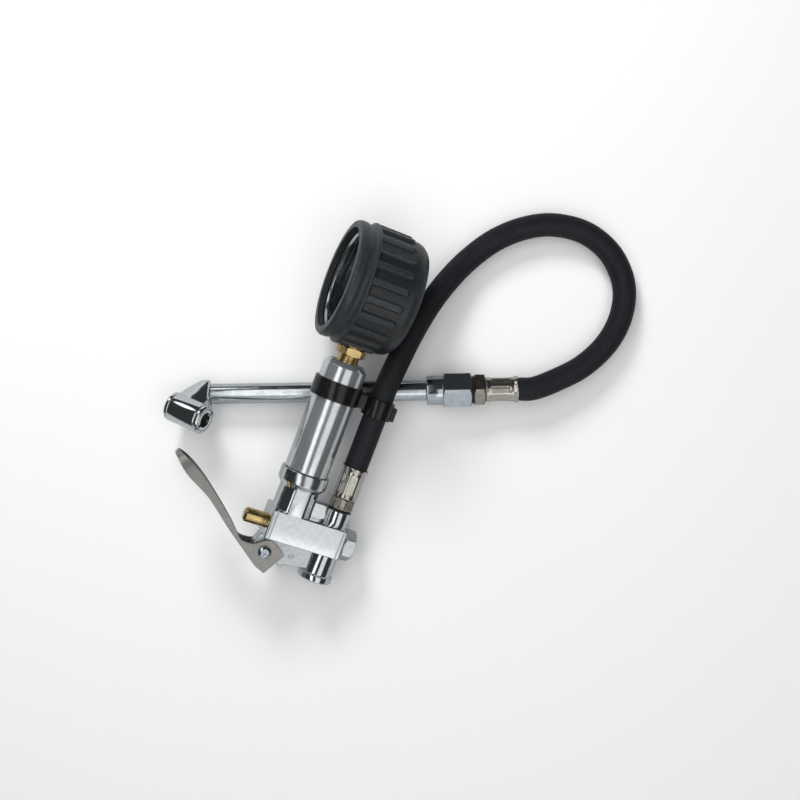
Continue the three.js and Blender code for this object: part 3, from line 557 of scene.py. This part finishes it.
BRASS = surface("turned brass", (0.88, 0.66, 0.30), 1, 0.26, tone=0.05, rough_spread=0.05,
                bumps=((500, 0.003, False),), edge=0.3)
STEEL = surface("plain steel", (0.55, 0.57, 0.59), 1, 0.35, tone=0.08, bumps=((700, 0.02, False),))
# The boot's colour carries painted shade in the gaps between its ribs, and a lighter rim along its edges that is
# part wear, part painted highlight.
BOOT = surface("moulded rubber", (0.024, 0.028, 0.031), 0, 0.36, tone=0.2, tone_scale=500,
               rough_spread=0.07, stretch=(1, 1, 1),
               bumps=((2200, 0.015, False), (350, 0.02, False)), edge=0.4,
               edge_wear_and_highlight=(0.09, 0.096, 0.10), extra=gap_painted_shade)
HOSE = surface("hose rubber", (0.008, 0.009, 0.012), 0, 0.6, tone=0.2, tone_scale=300,
               rough_spread=0.06, bumps=((2600, 0.02, False),), edge=0.2)
SEAL = surface("seal rubber", (0.015, 0.015, 0.016), 0, 0.5, tone=0.2, bumps=((1500, 0.02, False),))
PLASTIC = surface("glossy plastic", (0.008, 0.008, 0.009), 0, 0.2, tone=0.15, rough_spread=0.05,
                  bumps=((300, 0.006, False),), edge=0.5)
FACE = surface("dial paint", (0.010, 0.016, 0.030), 0, 0.35, tone=0.1, bumps=((1500, 0.005, False),))
MARKS = surface("printed marks", (0.80, 0.82, 0.84), 0, 0.5, tone=0.03)
NEEDLE = surface("pointer paint", (0.62, 0.05, 0.025), 0, 0.35, tone=0.05)
PALE_BENCH = surface("pale bench", (0.90, 0.90, 0.90), 0, 0.6, tone=0.006, tone_scale=3,
                     rough_spread=0.03, edge=0.1, extra=bench_tone)


def lens_material():
    """Clear plastic: mostly see-through, with a reflection that grows towards the edge of sight."""
    material = bpy.data.materials.new("clear lens")
    material.use_nodes = True
    n = Nodes(material.node_tree)
    place = n.add("ShaderNodeTexCoord").outputs["Object"]
    haze = n.between(n.noise(place, 500), 0.3, 0.7, 0.02, 0.06)
    gloss = n.add("ShaderNodeBsdfGlossy", {"Roughness": haze}, distribution="GGX")
    clear = n.add("ShaderNodeBsdfTransparent", {"Color": (0.93, 0.95, 0.96, 1)})
    fresnel = n.add("ShaderNodeFresnel", {"IOR": 1.2}).outputs[0]
    shader = n.add("ShaderNodeMixShader", {0: fresnel, 1: clear.outputs[0], 2: gloss.outputs[0]})
    n.add("ShaderNodeOutputMaterial", {"Surface": shader.outputs[0]})
    return material


LENS = lens_material()


# ---------------------------------------------------------------- valve
def valve_body():
    x0, x1 = BLOCK_X
    z0, z1 = BLOCK_Z
    y = BLOCK_HALF_Y
    end = [(-y, z0), (y, z0), (y, z1), (-y, z1)]
    brick = placed(soft_prism(end, x0, x1, 1.5, 0.9), ALONG_X)
    column = lathe(eased([(0, z1 - 1), (COLUMN_R, z1 - 1), (COLUMN_R, -11), (COLLAR_R, -7.3),
                          (COLLAR_R, 0), (10.6, 0), (10.6, 10), (0, 10)], 0.6))
    rib = block((-4.65, 4.65), (-y, 0), (z1 - 1, -7.6), bevel=0.35)
    web = block((0, PORT_X - PORT_R + 0.4), (-4, 4), (z1 - 1, -16), bevel=0.5)
    port = placed(rod(PORT_R, z1 - 1, PORT_TOP, FINE, ease=0.5), offset(PORT_X))
    rim = INLET_RING_R
    inlet = placed(lathe(eased([(0, INLET_MOUTH), (rim - 0.8, INLET_MOUTH), (rim, INLET_MOUTH + 0.8),
                                (rim, INLET_MOUTH + 4.2), (INLET_R, INLET_MOUTH + 4.9),
                                (INLET_R, z0 + 1), (0, z0 + 1)], 0.3)), offset(PORT_X))
    lug_outline = [(x0, z0 + 2), (-16.4, -50), (-16.6, -56), (-13.6, -60), (-8, -60.8), (2.8, -60),
                   (3.2, -61.6), (5.4, -61.6), (5.8, -59.6), (PORT_X - 6, -57.4), (PORT_X - 6, z0 + 2)]
    lug = placed(soft_prism(lug_outline, -5, 5, 1.0, 0.7), ACROSS_Y)
    cast_mark = placed(ring(0.9, 1.7, 0, 0.35, 32, ease=0.1), offset(9, -5.3, -53), Z_TO_Y)
    bore_line = [(0, x0 - 1), (PIN_R + 0.3, x0 - 1), (PIN_R + 0.3, -4), (5.4, -4), (5.4, SEAT_X),
                 (CHAMBER_R, SEAT_X), (CHAMBER_R, x1 - 8.5), (8.4, x1 - 8), (8.4, x1 + 1), (0, x1 + 1)]
    bore = placed(lathe(bore_line, SMALL), offset(z=VALVE_Z), Z_TO_X)
    port_bore = placed(rod(5.1, -24.2, PORT_TOP + 1), offset(PORT_X))
    mouth = [(0, INLET_MOUTH - 1), (INLET_BORE_R + 1.1, INLET_MOUTH - 1),
             (INLET_BORE_R + 0.1, INLET_MOUTH + 0.8)]
    thread = []
    z = INLET_MOUTH + 0.8
    while z < -51:
        thread += [(INLET_BORE_R, z), (INLET_BORE_R - 0.55, z + 0.67)]
        z += 1.34
    narrow = [(INLET_BORE_R, -50), (4, -50), (4, VALVE_Z), (0, VALVE_Z)]
    inlet_bore = placed(lathe(mouth + thread + narrow, SMALL), offset(PORT_X))
    pivot_hole = placed(rod(2.7, -6, 6), offset(PIVOT[0], 0, PIVOT[1]), Z_TO_Y)
    spot_face = placed(rod(11, x1, x1 + 4), offset(z=VALVE_Z), Z_TO_X)
    grooves = [block((x - 0.4, x + 0.4), (side * y - 0.7, side * y + 0.7), (z0 - 1, z1 + 1))
               for side in (-1, 1) for x in (x0 + 3, x1 - 3)]
    whole = joined(brick, column, rib, web, port, inlet, lug, cast_mark)
    whole = cut(whole, bore, port_bore, inlet_bore, pivot_hole, spot_face, *grooves)
    piece("valve_casting", whole, GUN, "gun", CASTING, "valve_body")


def valve_line():
    pin = eased([(0, PIN_TIP), (3.3, PIN_TIP), (PIN_R, PIN_TIP + 1.4), (PIN_R, -12.2), (3.1, -12.2),
                 (3.1, -10), (PIN_R, -10), (PIN_R, -8.6), (3.1, -8.6), (3.1, -6.4), (PIN_R, -6.4),
                 (PIN_R, -5), (2.2, -5)], 0.35)
    tail = [(2.2, SEAT_X + 3.6), (4.6, SEAT_X + 3.6), (4.6, SEAT_X + 5), (2.2, SEAT_X + 5),
            (2.2, SEAT_X + 8), (0, SEAT_X + 8)]
    piece("plunger", lathe(pin + tail, SMALL), VALVE, "plunger", BRASS, "valve_plunger")
    end = BLOCK_X[1]
    shank = rod(8.1, 31.5, end + 1.4)
    head = hexagon(PLUG_ACROSS, end + 1.1, end + 8.6, 0, share=0.9)
    piece("plug", joined(shank, head), VALVE, "gun", SATIN_PLUG, "valve_plug")
    washer = ring(8.5, 9.5, end + 0.2, end + 0.9, ease=0.2)
    piece("plug_washer", washer, VALVE, "gun", SEAL, "plug_gasket")


# ---------------------------------------------------------------- lever
OUTER = smooth([(-2.7, -10.1), (-14.5, -1.4), (-28, 8.8), (-44.2, 22), (-61, 31.6), (-71.2, 40.6)], 60)
INNER = smooth([(-70.2, 43.6), (-61.5, 39.9), (-49.2, 32.1), (-34.3, 19.9), (-22.6, 9.4), (-16, 3),
                (-7.9, 2.8)], 60)
EARS = [(-1.9, 7), (1.7, 8.2), (12.7, 1.6), (4.1, -13)]


def lever():
    ears = eased([INNER[-1], *EARS, OUTER[0]], 0.9)[1:-1]
    side = placed(prism([*INNER, *ears, *OUTER], -LEVER_HALF_W, LEVER_HALF_W), ACROSS_Y)
    inside = []
    for i, point in enumerate(OUTER):
        along = (Vector(OUTER[min(i + 1, len(OUTER) - 1)]) - Vector(OUTER[max(i - 1, 0)])).normalized()
        inside.append((point[0] + LEVER_SHEET * along.y, point[1] - LEVER_SHEET * along.x))
    half = LEVER_HALF_W - LEVER_SHEET
    hollow = placed(prism([(-3, -25), *inside, (-60, 60), (40, 60), (40, -25)], -half, half), ACROSS_Y)
    tip = Vector((-71.6, 0, 42.4))
    away = Vector((-61, 0, 34)) - tip
    away.normalize()
    plan = axes(-away, Vector((0, 1, 0)), (-away).cross(Vector((0, 1, 0))), tip)

    def spoon(width, back):
        reach = 13.0
        nose = [(-back - reach + reach * math.cos(math.radians(a)), width * math.sin(math.radians(a)))
                for a in range(-90, 91, 5)]
        return placed(prism([(-140, -width), *nose, (-140, width)], -90, 90), plan)

    outside = combined("INTERSECT", side, spoon(LEVER_HALF_W, 0))
    hollow = combined("INTERSECT", hollow, spoon(half, LEVER_SHEET))
    pivot_hole = placed(rod(2.7, -12, 12), Z_TO_Y)
    piece("lever", cut(outside, hollow, pivot_hole), LEVER, "lever", SHEET, "squeeze_lever")
    outer = LEVER_HALF_W + 0.2
    head = lathe(eased([(0, -outer - 2.3), (2.4, -outer - 2.3), (3.9, -outer - 1.5), (4.2, -outer - 0.7),
                        (4.2, -outer), (2.4, -outer), (2.4, outer + 3), (0, outer + 3)], 0.3), SMALL)
    recess = [placed(block((-1.9, 1.9), (-0.42, 0.42), (-outer - 3, -outer - 1.1)), turn(a, "Z"))
              for a in (20, 110)]
    screw = cut(head, *recess)
    piece("pivot_screw", placed(screw, Z_TO_Y), LEVER, "lever", ZINC, "lever_pivot_screw")
    nut = cut(hexagon(PIVOT_NUT_ACROSS, outer, outer + 3.2), rod(2.65, outer - 1, outer + 4))
    piece("pivot_nut", placed(nut, Z_TO_Y), LEVER, "lever", ZINC, "lever_pivot_nut")


# ---------------------------------------------------------------- handle
def handle():
    top = HANDLE_TOP
    tube = lathe(eased([(11, 0.3), (HANDLE_R, 0.3), (HANDLE_R, top - 3.1), (HANDLE_R - 2.9, top),
                        (STEM_R + 0.3, top), (STEM_R + 0.3, 60), (9.5, 56), (9.5, 14), (11, 11)],
                       0.45, closed=True), 128)
    piece("handle", tube, GUN, "gun", SATIN, "handle_tube")
    neck = [(0, 61), (STEM_R, 61), (STEM_R, 72.9)]
    for z in (73.4, 74.8, 76.2):
        neck += [(STEM_R, z - 0.35), (STEM_R - 0.4, z), (STEM_R, z + 0.35)]
    neck += [(STEM_R, 78), (0, 78)]
    stem = joined(lathe(eased(neck, 0.15, steps=1), SMALL), hexagon(NECK_ACROSS, 77, 82.1),
                  rod(6.2, 82, 92), block((-3, 12.2), (-8, 8), (91.3, 102)),
                  block((8.3, 12.1), (-7, 7), (101, 109)))
    piece("gauge_neck", stem, GUN, "gun", BRASS, "gauge_stem")


# ---------------------------------------------------------------- gauge
def boot():
    """The rubber cover: a smooth lip, a ridge, and round-backed ribs that run from the ridge."""
    rib_low, ridge_back, rib_half, rise = -11.4, 12.0, 2.7, BOOT_RIB_R - BOOT_BODY_R
    pitch = 2 * math.pi / BOOT_RIBS

    def ribbed(r, z, a):
        if r < BOOT_BODY_R - 0.8 or r > BOOT_RIB_R or z > ridge_back or z < -17:
            return r
        across = ((a + 0.5 * pitch) % pitch - 0.5 * pitch) * BOOT_BODY_R
        beyond = max(rib_low + rib_half - z, 0)
        lift = min(max((rib_half - math.hypot(across, beyond)) / 1.0, 0), 1)
        return min(r + rise * lift * lift * (3 - 2 * lift), BOOT_RIB_R)

    front = [(BOOT_BODY_R, 11.2), (RIDGE_R, 12.0), (RIDGE_R, 13.4), (36.5, 15.0), (36.2, 16.8),
             (BOOT_LIP_R, 19.2), (BOOT_LIP_R, 22.4), (35.9, 24.3), (BOOT_BORE_R, 24.3)]
    inner = [(BOOT_BORE_R, 20.7), (34, 20.7), (34, 15.9), (BOOT_BORE_R, 15.9), (BOOT_BORE_R, -14.2),
             (24, -14.2), (24, -22.5)]
    back = [(29, -22.5), (33.2, -21.2), (35.6, -18.2), (BOOT_BODY_R, -15)]
    wall = [(BOOT_BODY_R, -14.6 + 25.2 * i / 42) for i in range(43)]
    shell = lathe(eased(inner, 0.6) + eased(back, 2.2, steps=4) + wall + eased([wall[-1], *front], 0.9)[1:],
                  BOOT_RIBS * 20, wall=ribbed)
    hole = placed(rod(7.2, -41, -28), Z_TO_X)
    hex_room = placed(rod(10.2, -41, 0.3 - BOOT_BODY_R), Z_TO_X)
    piece("boot", cut(shell, hole, hex_room), GAUGE, "gun", BOOT, "gauge_boot", sharp=42)


def gauge():
    bezel = lathe(eased([(28.8, 16.3), (33.6, 16.3), (33.6, 19.6), (32.4, 20.3), (29.6, 20.3), (28.8, 19)],
                        0.35, closed=True), 128)
    piece("bezel", bezel, GAUGE, "gun", BRIGHT_RING, "gauge_bezel")
    piece("lens", rod(30.1, 13.6, 15.6, 128, ease=0.3), GAUGE, "gun", LENS, "gauge_lens")
    dial = cut(rod(29.6, DIAL_Z, DIAL_Z + 0.6, 128), rod(1.7, DIAL_Z - 1, DIAL_Z + 2))
    piece("dial", dial, GAUGE, "gun", FACE, "gauge_dial")
    top = DIAL_Z + 0.6
    sweep = 2 * POINTER_ZERO
    marks = []
    for i in range(DIAL_DIVISIONS + 1):
        angle = POINTER_ZERO - sweep * i / DIAL_DIVISIONS
        long, middle = i % DIAL_LABEL_STEP == 0, i % 5 == 0
        inner = 22.0 if long else 23.2 if middle else 24.4
        wide = 0.42 if long else 0.26 if middle else 0.16
        marks.append(placed(block((inner, 26.4), (-wide, wide), (top, top + 0.12)), turn(angle, "Z")))
    edge = POINTER_ZERO + 1
    scale_line = arc(27.2, -edge, edge, 90) + arc(26.8, edge, -edge, 90)
    marks.append(prism(scale_line, top, top + 0.12))
    labels = DIAL_DIVISIONS // DIAL_LABEL_STEP
    for i in range(labels + 1):
        angle = math.radians(POINTER_ZERO - sweep * i / labels)
        marks.append(numeral(str(3 * i), 17.8 * math.cos(angle), 17.8 * math.sin(angle), top))
    piece("dial_marks", gathered(*marks), GAUGE, "gun", MARKS)
    needle = prism([(-8, -1.6), (-6, -1.2), (0, -1.0), (22.6, -0.35), (23.6, 0), (22.6, 0.35), (0, 1.0),
                    (-6, 1.2), (-8, 1.6)], 10, 10.7)
    hub_line = [(1.3, 9.6), (2.8, 9.6), (2.8, 10.9), (2.2, 11.4), (1.3, 11.4)]
    hub = lathe(eased(hub_line, 0.2, closed=True), SMALL)
    pointer = cut(joined(needle, hub), rod(1.3, 9, 12))
    piece("needle", placed(pointer, turn(POINTER_ZERO, "Z")), GAUGE, "pointer", NEEDLE, "gauge_pointer")


def numeral(text, x, y, z):
    """A dial number, upright with the dial's top away from the handle."""
    curve = bpy.data.curves.new("numeral", "FONT")
    curve.body = text
    curve.size = 5.2
    curve.align_x = "CENTER"
    curve.align_y = "CENTER"
    curve.extrude = 0.06
    obj = bpy.data.objects.new("numeral", curve)
    bpy.context.scene.collection.objects.link(obj)
    bpy.context.view_layer.update()
    mesh = bpy.data.meshes.new_from_object(obj.evaluated_get(bpy.context.evaluated_depsgraph_get()))
    bm = bmesh.new()
    bm.from_mesh(mesh)
    bpy.data.objects.remove(obj)
    bpy.data.curves.remove(curve)
    bpy.data.meshes.remove(mesh)
    bmesh.ops.remove_doubles(bm, verts=bm.verts, dist=1e-4)
    return placed(bm, offset(x, y, z + 0.06), turn(-90, "Z"))


# ---------------------------------------------------------------- clip
def clip():
    on_handle = (48.2, 60)
    on_hose = (46, 57.4)
    handle_band = ring(HANDLE_R + 0.3, 15.5, *on_handle, FINE, ease=0.35)
    hose_band = placed(ring(HOSE_R + 0.3, 9.5, *on_hose, FINE, ease=0.35), offset(PORT_X))
    bridge = block((HANDLE_R + 1, PORT_X - HOSE_R - 1), (-2.4, 2.4), (on_handle[0], on_hose[1]), bevel=0.4)
    tail = block((PORT_X + 8.4, PORT_X + 11.4), (-3.4, 3.4), (46.6, 55.4), bevel=0.5)
    mouth = block((PORT_X - 3, PORT_X + 8), (7, 12), (on_hose[0] - 1, on_hose[1] + 1))
    whole = cut(joined(handle_band, hose_band, bridge, tail), mouth)
    piece("clip", whole, GUN, "gun", PLASTIC, "hose_clip")


# ---------------------------------------------------------------- hose fittings
def crimped(length):
    """A sleeve with flats pressed in round it and a flared rim at its far end."""
    low, high = 2.6, length - 4.2

    def pressed(r, z, a):
        if r < 7.3 or z < 0.5 or z > length - 2.6:
            return r
        along = min(max((z - low) / 1.2, 0), 1) * min(max((high - z) / 1.2, 0), 1)
        pitch = 2 * math.pi / SLEEVE_FLATS
        off = abs((a + pitch / 2) % pitch - pitch / 2) / (pitch / 2)
        ridge = min(max((off - 0.3) / 0.6, 0), 1)
        ridge = ridge * ridge * (3 - 2 * ridge)
        return r - SLEEVE_PRESS * along * (1 - ridge)

    side = [(SLEEVE_R, 0.4 + (length - 3.6) * i / 32) for i in range(33)]
    profile = [(SLEEVE_BORE_R, 0), (7.4, 0), *side, (SLEEVE_R, length - 2.9), (8.2, length - 1.4),
               (8.5, length - 0.5), (8.45, length), (8.1, length), (7.5, length - 2.6),
               (SLEEVE_BORE_R, length - 3.6)]
    return lathe(profile, 160, wall=pressed)


def gun_fittings():
    place = GUN @ shift(PORT_X)
    nut = hexagon(GUN_NIPPLE_ACROSS, PORT_TOP + 1.1, -8.5, 30, share=0.5)
    shank = rod(4.7, -23.6, -15)
    barb = rod(4, -9, 8)
    piece("nipple_gun", joined(shank, nut, barb), place, "gun", DARK_NICKEL, "hose_nipple_gun")
    washer = ring(5.2, 7.4, PORT_TOP + 0.2, PORT_TOP + 0.8, ease=0.2)
    piece("washer_gun", washer, place, "gun", SEAL, "port_gasket")
    piece("sleeve_gun", crimped(20.2), place @ shift(z=-8.2), "gun", NICKEL, "ferrule_gun", sharp=50)


def stem():
    body = "chuck_line"
    x0, x1 = ADAPTOR_X
    tube = lathe(eased([(5.1, STEM_TUBE_X[0]), (STEM_TUBE_R, STEM_TUBE_X[0]), (STEM_TUBE_R, STEM_TUBE_X[1]),
                        (5.1, STEM_TUBE_X[1])], 0.3, closed=True), 96)
    piece("tube", placed(tube, Z_TO_X), LINE, body, TUBE, "stem_tube")
    collar = lathe(eased([(0, x0 + 0.3), (9.25, x0 + 0.3), (9.25, x0 + 10.9), (0, x0 + 10.9)], 0.7))
    nut = hexagon(ADAPTOR_ACROSS, x0 + 10.7, x1, 0, share=0.75)
    socket = rod(5.2, x1 - 9, x1 + 1)
    adaptor = cut(joined(collar, nut, rod(4.7, x0 - 8, x0 + 1)), socket)
    piece("adaptor", placed(adaptor, Z_TO_X), LINE, body, ZINC, "stem_adaptor")
    n0, n1 = NIPPLE_X
    washer = ring(5.3, 8.6, x1 + 0.2, n0 - 0.2, ease=0.3)
    piece("washer_stem", placed(washer, Z_TO_X), LINE, body, SEAL, "nipple_o_ring")
    nipple = joined(rod(4.8, n0 - 9, n0 + 0.5), hexagon(STEM_NIPPLE_ACROSS, n0, n1),
                    rod(4, n1 - 0.5, n1 + 16))
    piece("nipple_stem", placed(nipple, Z_TO_X), LINE, body, DARK_NICKEL, "hose_nipple_stem")
    sleeve = placed(crimped(FERRULE_X[1] - FERRULE_X[0]), offset(FERRULE_X[0]), Z_TO_X)
    piece("sleeve_stem", sleeve, LINE, body, NICKEL, "ferrule_stem", sharp=50)


# ---------------------------------------------------------------- chuck
def driver_slot(end):
    low, high = (BARREL_HALF - 1.5, BARREL_HALF + 1) if end > 0 else (-BARREL_HALF - 1, 1.5 - BARREL_HALF)
    return block((-1, 1), (-12, 12), (low, high))


def chuck():
    x = STEM_TUBE_X[0] - 0.3
    half = BARREL_HALF
    to_head = (offset(*BARREL_AT), turn(BARREL_TURN, "Z"), Z_TO_X)
    outline = [(x - 3, -6.4), (x - 7, -5.4), (x - 14.4, 0.6), (x - 20.7, 7.4), (x - 12, 20), (x - 7.6, 21.4),
               (x, 11), (x, -6.2)]
    neck = soft_prism(outline, -7, 7, 1.6, 1.3)
    line = [(0, -half), (BARREL_R - 0.9, -half), (BARREL_R, 0.9 - half), (BARREL_R, 2.6 - half),
            (BARREL_R - 0.45, 2.9 - half), (BARREL_R, 3.2 - half), (BARREL_R, half - 3.4),
            (BARREL_R - 0.5, half - 3), (BARREL_R - 0.5, half - 2.6), (BARREL_R, half - 2.2),
            (BARREL_R, half - 0.9), (BARREL_R - 0.9, half), (0, half)]
    barrel = placed(lathe(eased(line, 0.25, steps=2), 96), *to_head)
    spigot = placed(rod(4.7, x - 1, x + 8), Z_TO_X)
    bore = placed(rod(2.9, -half - 1, half + 1), *to_head)
    mouths = [placed(rod(FOOT_R + 0.3, a, b), *to_head)
              for a, b in ((-half - 1, -half + 6.2), (half - 6.2, half + 1))]
    slots = [placed(driver_slot(end), *to_head) for end in (-1, 1)]
    head = cut(joined(neck, barrel, spigot), bore, *mouths, *slots)
    piece("chuck", head, HEAD, "chuck_line", CHROME, "chuck_head")
    for end, name in ((1, "near"), (-1, "far")):
        seal = (half - 5.9, half - 2.9) if end > 0 else (2.9 - half, 5.9 - half)
        cap = (half - 2.6, half) if end > 0 else (-half, 2.6 - half)
        soft = ring(3.1, FOOT_R - 0.1, *seal, ease=0.7)
        piece(f"seal_{name}", soft, BARREL, "chuck_line", SEAL, f"chuck_seal_{name}")
        retainer = cut(ring(4.9, FOOT_R, *cap, ease=0.4), driver_slot(end))
        piece(f"retainer_{name}", retainer, BARREL, "chuck_line", CHROME, f"seal_retainer_{name}")
    pin = [(0, -9.4), (1.2, -9.4), (1.2, -5), (2.3, -5), (2.3, 5), (1.2, 5), (1.2, 9.4), (0, 9.4)]
    piece("depressor", lathe(eased(pin, 0.3), 32), BARREL, "depressor", BRASS, "depressor_pin")


# ---------------------------------------------------------------- hose
def on_gun(z):
    return GUN @ Vector((PORT_X * MM, 0, z * MM))


def on_line(x):
    return LINE @ Vector((x * MM, 0, 0))


def hose_points():
    """The hose's axis: up beside the handle, over the stem, round a loop on the bench and back."""
    loop = [(10, 46, 21), (26.5, 71, 14.5), (44, 89.8, 9), (61.4, 102.4, 8.4), (79.2, 109.6, 8.2),
            (97.5, 111.8, 8.2), (118.5, 106.6, 8.2), (133.6, 94.4, 8.2), (141.6, 79, 8.2), (143.2, 66, 8.2),
            (140.2, 51, 8.2), (131.8, 36, 8.6), (116.6, 21.8, 9.8), (99, 12.6, 11.4)]
    end = FERRULE_X[1]
    controls = [on_gun(z) for z in (-4, 4, 12, 24, 36, 48, 60, 65)] + [BENCH + Vector(p) * MM for p in loop] \
        + [on_line(end + d) for d in (9, 0.3, -7, -14)]
    return centripetal(controls, 22)


def centripetal(points, steps):
    """A smooth curve through the points whose pace follows how far apart they are."""
    whole = [points[0] * 2 - points[1], *points, points[-1] * 2 - points[-2]]
    result = []
    for a, b, c, d in zip(whole, whole[1:], whole[2:], whole[3:]):
        t0 = 0.0
        t1 = t0 + (b - a).length ** 0.5
        t2 = t1 + (c - b).length ** 0.5
        t3 = t2 + (d - c).length ** 0.5
        for k in range(steps):
            t = t1 + (t2 - t1) * k / steps
            p = a * ((t1 - t) / (t1 - t0)) + b * ((t - t0) / (t1 - t0))
            q = b * ((t2 - t) / (t2 - t1)) + c * ((t - t1) / (t2 - t1))
            r = c * ((t3 - t) / (t3 - t2)) + d * ((t - t2) / (t3 - t2))
            u = p * ((t2 - t) / (t2 - t0)) + q * ((t - t0) / (t2 - t0))
            v = q * ((t3 - t) / (t3 - t1)) + r * ((t - t1) / (t3 - t1))
            result.append(u * ((t2 - t) / (t2 - t1)) + v * ((t - t1) / (t2 - t1)))
    result.append(points[-1])
    return result


def evenly(points, step):
    result = [points[0]]
    gone = 0.0
    for a, b in zip(points, points[1:]):
        length = (b - a).length
        while gone + length >= step:
            a = a.lerp(b, (step - gone) / length)
            length = (b - a).length
            gone = 0.0
            result.append(a)
        gone += length
    return result


def skived(gone, bare):
    """The hose's radius at a distance from its end: its cover is cut back inside the sleeve."""
    share = min(max((gone - bare) / 3, 0), 1)
    return SKIVED_R + (HOSE_SKIN_R - SKIVED_R) * share


def hose_solid(points, radii, facets=56):
    """A round length along the points, carried along without twist and closed at both ends."""
    bm = bmesh.new()
    side = None
    rings = []
    for i, point in enumerate(points):
        along = (points[min(i + 1, len(points) - 1)] - points[max(i - 1, 0)]).normalized()
        if side is None:
            side = along.orthogonal()
        side = (side - along * side.dot(along)).normalized()
        other = along.cross(side)
        rings.append([bm.verts.new(point + (side * math.cos(a) + other * math.sin(a)) * radii[i] * MM)
                      for a in (2 * math.pi * k / facets for k in range(facets))])
    for a, b in zip(rings, rings[1:]):
        for k in range(facets):
            m = (k + 1) % facets
            bm.faces.new((a[k], a[m], b[m], b[k]))
    bm.faces.new(list(reversed(rings[0])))
    bm.faces.new(rings[-1])
    bmesh.ops.recalc_face_normals(bm, faces=bm.faces)
    bm.transform(Matrix.Diagonal((1 / MM, 1 / MM, 1 / MM, 1)))
    return bm


def hose():
    path = evenly(hose_points(), HOSE_STEP * MM)
    radii = [min(skived(i * HOSE_STEP, 12.6), skived((len(path) - 1 - i) * HOSE_STEP, 10.6))
             for i in range(len(path))]
    rightmost = max(range(len(path)), key=lambda i: path[i].x)
    still = Matrix.Identity(4)
    upper = piece("hose_upper", hose_solid(path[:rightmost + 1], radii[:rightmost + 1]), still, None,
                  HOSE, "hose_gun_section", "hose_loop_section")
    lower = piece("hose_lower", hose_solid(path[rightmost:], radii[rightmost:]), still, None, HOSE,
                  "hose_stem_section")
    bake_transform(upper)
    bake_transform(lower)


# ---------------------------------------------------------------- pieces kept from the CAD
CARRIED = {
    "brass": BRASS, "steel": STEEL, "rubber": SEAL, "zinc_plate": ZINC, "chrome_plate": CHROME,
    "satin_alloy": SATIN, "nickel_plate": NICKEL,
}


def finish_carried():
    slots = {part["node"]: part["material_slot"] for part in frame["record"]["subparts"]}
    for name, obj in frame["nodes"].items():
        material = CARRIED.get(slots[name])
        if material:
            obj.data.materials.clear()
            obj.data.materials.append(material)


# ---------------------------------------------------------------- bench, light and camera
def floor():
    bm = bmesh.new()
    bmesh.ops.create_grid(bm, x_segments=8, y_segments=8, size=1)
    obj = as_object(bm, "bench")
    obj.scale = (BENCH_HALF, BENCH_HALF, 1)
    obj.location.z = -0.0002
    obj.data.materials.append(PALE_BENCH)


# Far soft boxes: direction they lie in, half-angle to the full and to the faded edge, brightness
SOFT_BOXES = [
    ((0.0, -0.86, 0.50), 26, 34, 0.5),
    ((-0.43, 0.80, 0.42), 9, 12, 1.2),
]
SURROUND = 0.035                 # the unlit room, as bright metal mirrors it
BACKDROP = 0.9                   # the same room as the camera sees it

# Near panels facing down: middle, width, length, brightness
PANELS = {
    "left panel": ((-0.30, 0.08, 0.8), 0.265, 1.1, 1.25),
    "right panel": ((0.375, -0.45, 0.8), 0.57, 1.1, 0.75),
}


def studio():
    world = bpy.data.worlds.new("studio")
    bpy.context.scene.world = world
    world.use_nodes = True
    n = Nodes(world.node_tree)
    direction = n.add("ShaderNodeTexCoord").outputs["Generated"]
    direction = n.add("ShaderNodeVectorMath", {0: direction}, operation="NORMALIZE").outputs[0]
    total = SURROUND
    for towards, full, faded, strength in SOFT_BOXES:
        aim = Vector(towards).normalized()
        facing = n.add("ShaderNodeVectorMath", {0: direction, 1: aim}, operation="DOT_PRODUCT")
        facing = facing.outputs["Value"]
        glow = n.between(facing, math.cos(math.radians(faded)), math.cos(math.radians(full)), 0, strength)
        total = n.math("ADD", glow, total)
    seen = n.add("ShaderNodeLightPath").outputs["Is Camera Ray"]
    total = n.add("ShaderNodeMix", {0: seen, 2: total, 3: BACKDROP}).outputs[0]
    light = n.add("ShaderNodeBackground", {"Color": (0.97, 0.985, 1, 1), "Strength": total})
    n.add("ShaderNodeOutputWorld", {"Surface": light.outputs[0]})


def panel(name, middle, width, length, brightness, in_mirrors=True, tilted=False):
    """A rectangle of light facing straight down, or tilted towards the middle of the bench."""
    data = bpy.data.lights.new(name, "AREA")
    data.shape = "RECTANGLE"
    data.size, data.size_y = width, length
    data.energy = brightness * math.pi * width * length
    obj = bpy.data.objects.new(name, data)
    obj.location = middle
    obj.visible_camera = False
    obj.visible_glossy = in_mirrors
    if tilted:
        obj.rotation_euler = obj.location.to_track_quat("Z", "Y").to_euler()
    bpy.context.scene.collection.objects.link(obj)


def camera():
    """Straight above the inflator, looking down."""
    data = bpy.data.cameras.new("camera")
    data.sensor_width = 36
    data.lens = CAMERA_LENS
    data.clip_start, data.clip_end = 0.01, 20
    obj = bpy.data.objects.new("camera", data)
    obj.location = BENCH + Vector((0, 0, CAMERA_HEIGHT))
    bpy.context.scene.collection.objects.link(obj)
    bpy.context.scene.camera = obj


valve_body()
valve_line()
lever()
handle()
boot()
gauge()
clip()
gun_fittings()
stem()
chuck()
hose()
finish_carried()
floor()
studio()
for panel_name, settings in PANELS.items():
    panel(panel_name, *settings)
panel("fill", (-0.1, 0.1, 1.5), 2.0, 2.0, 1.0, in_mirrors=False)
panel("key", (-0.3, 0.95, 0.7), 0.35, 0.35, 24.0, in_mirrors=False, tilted=True)
camera()
bpy.context.scene.view_settings.view_transform = "Standard"
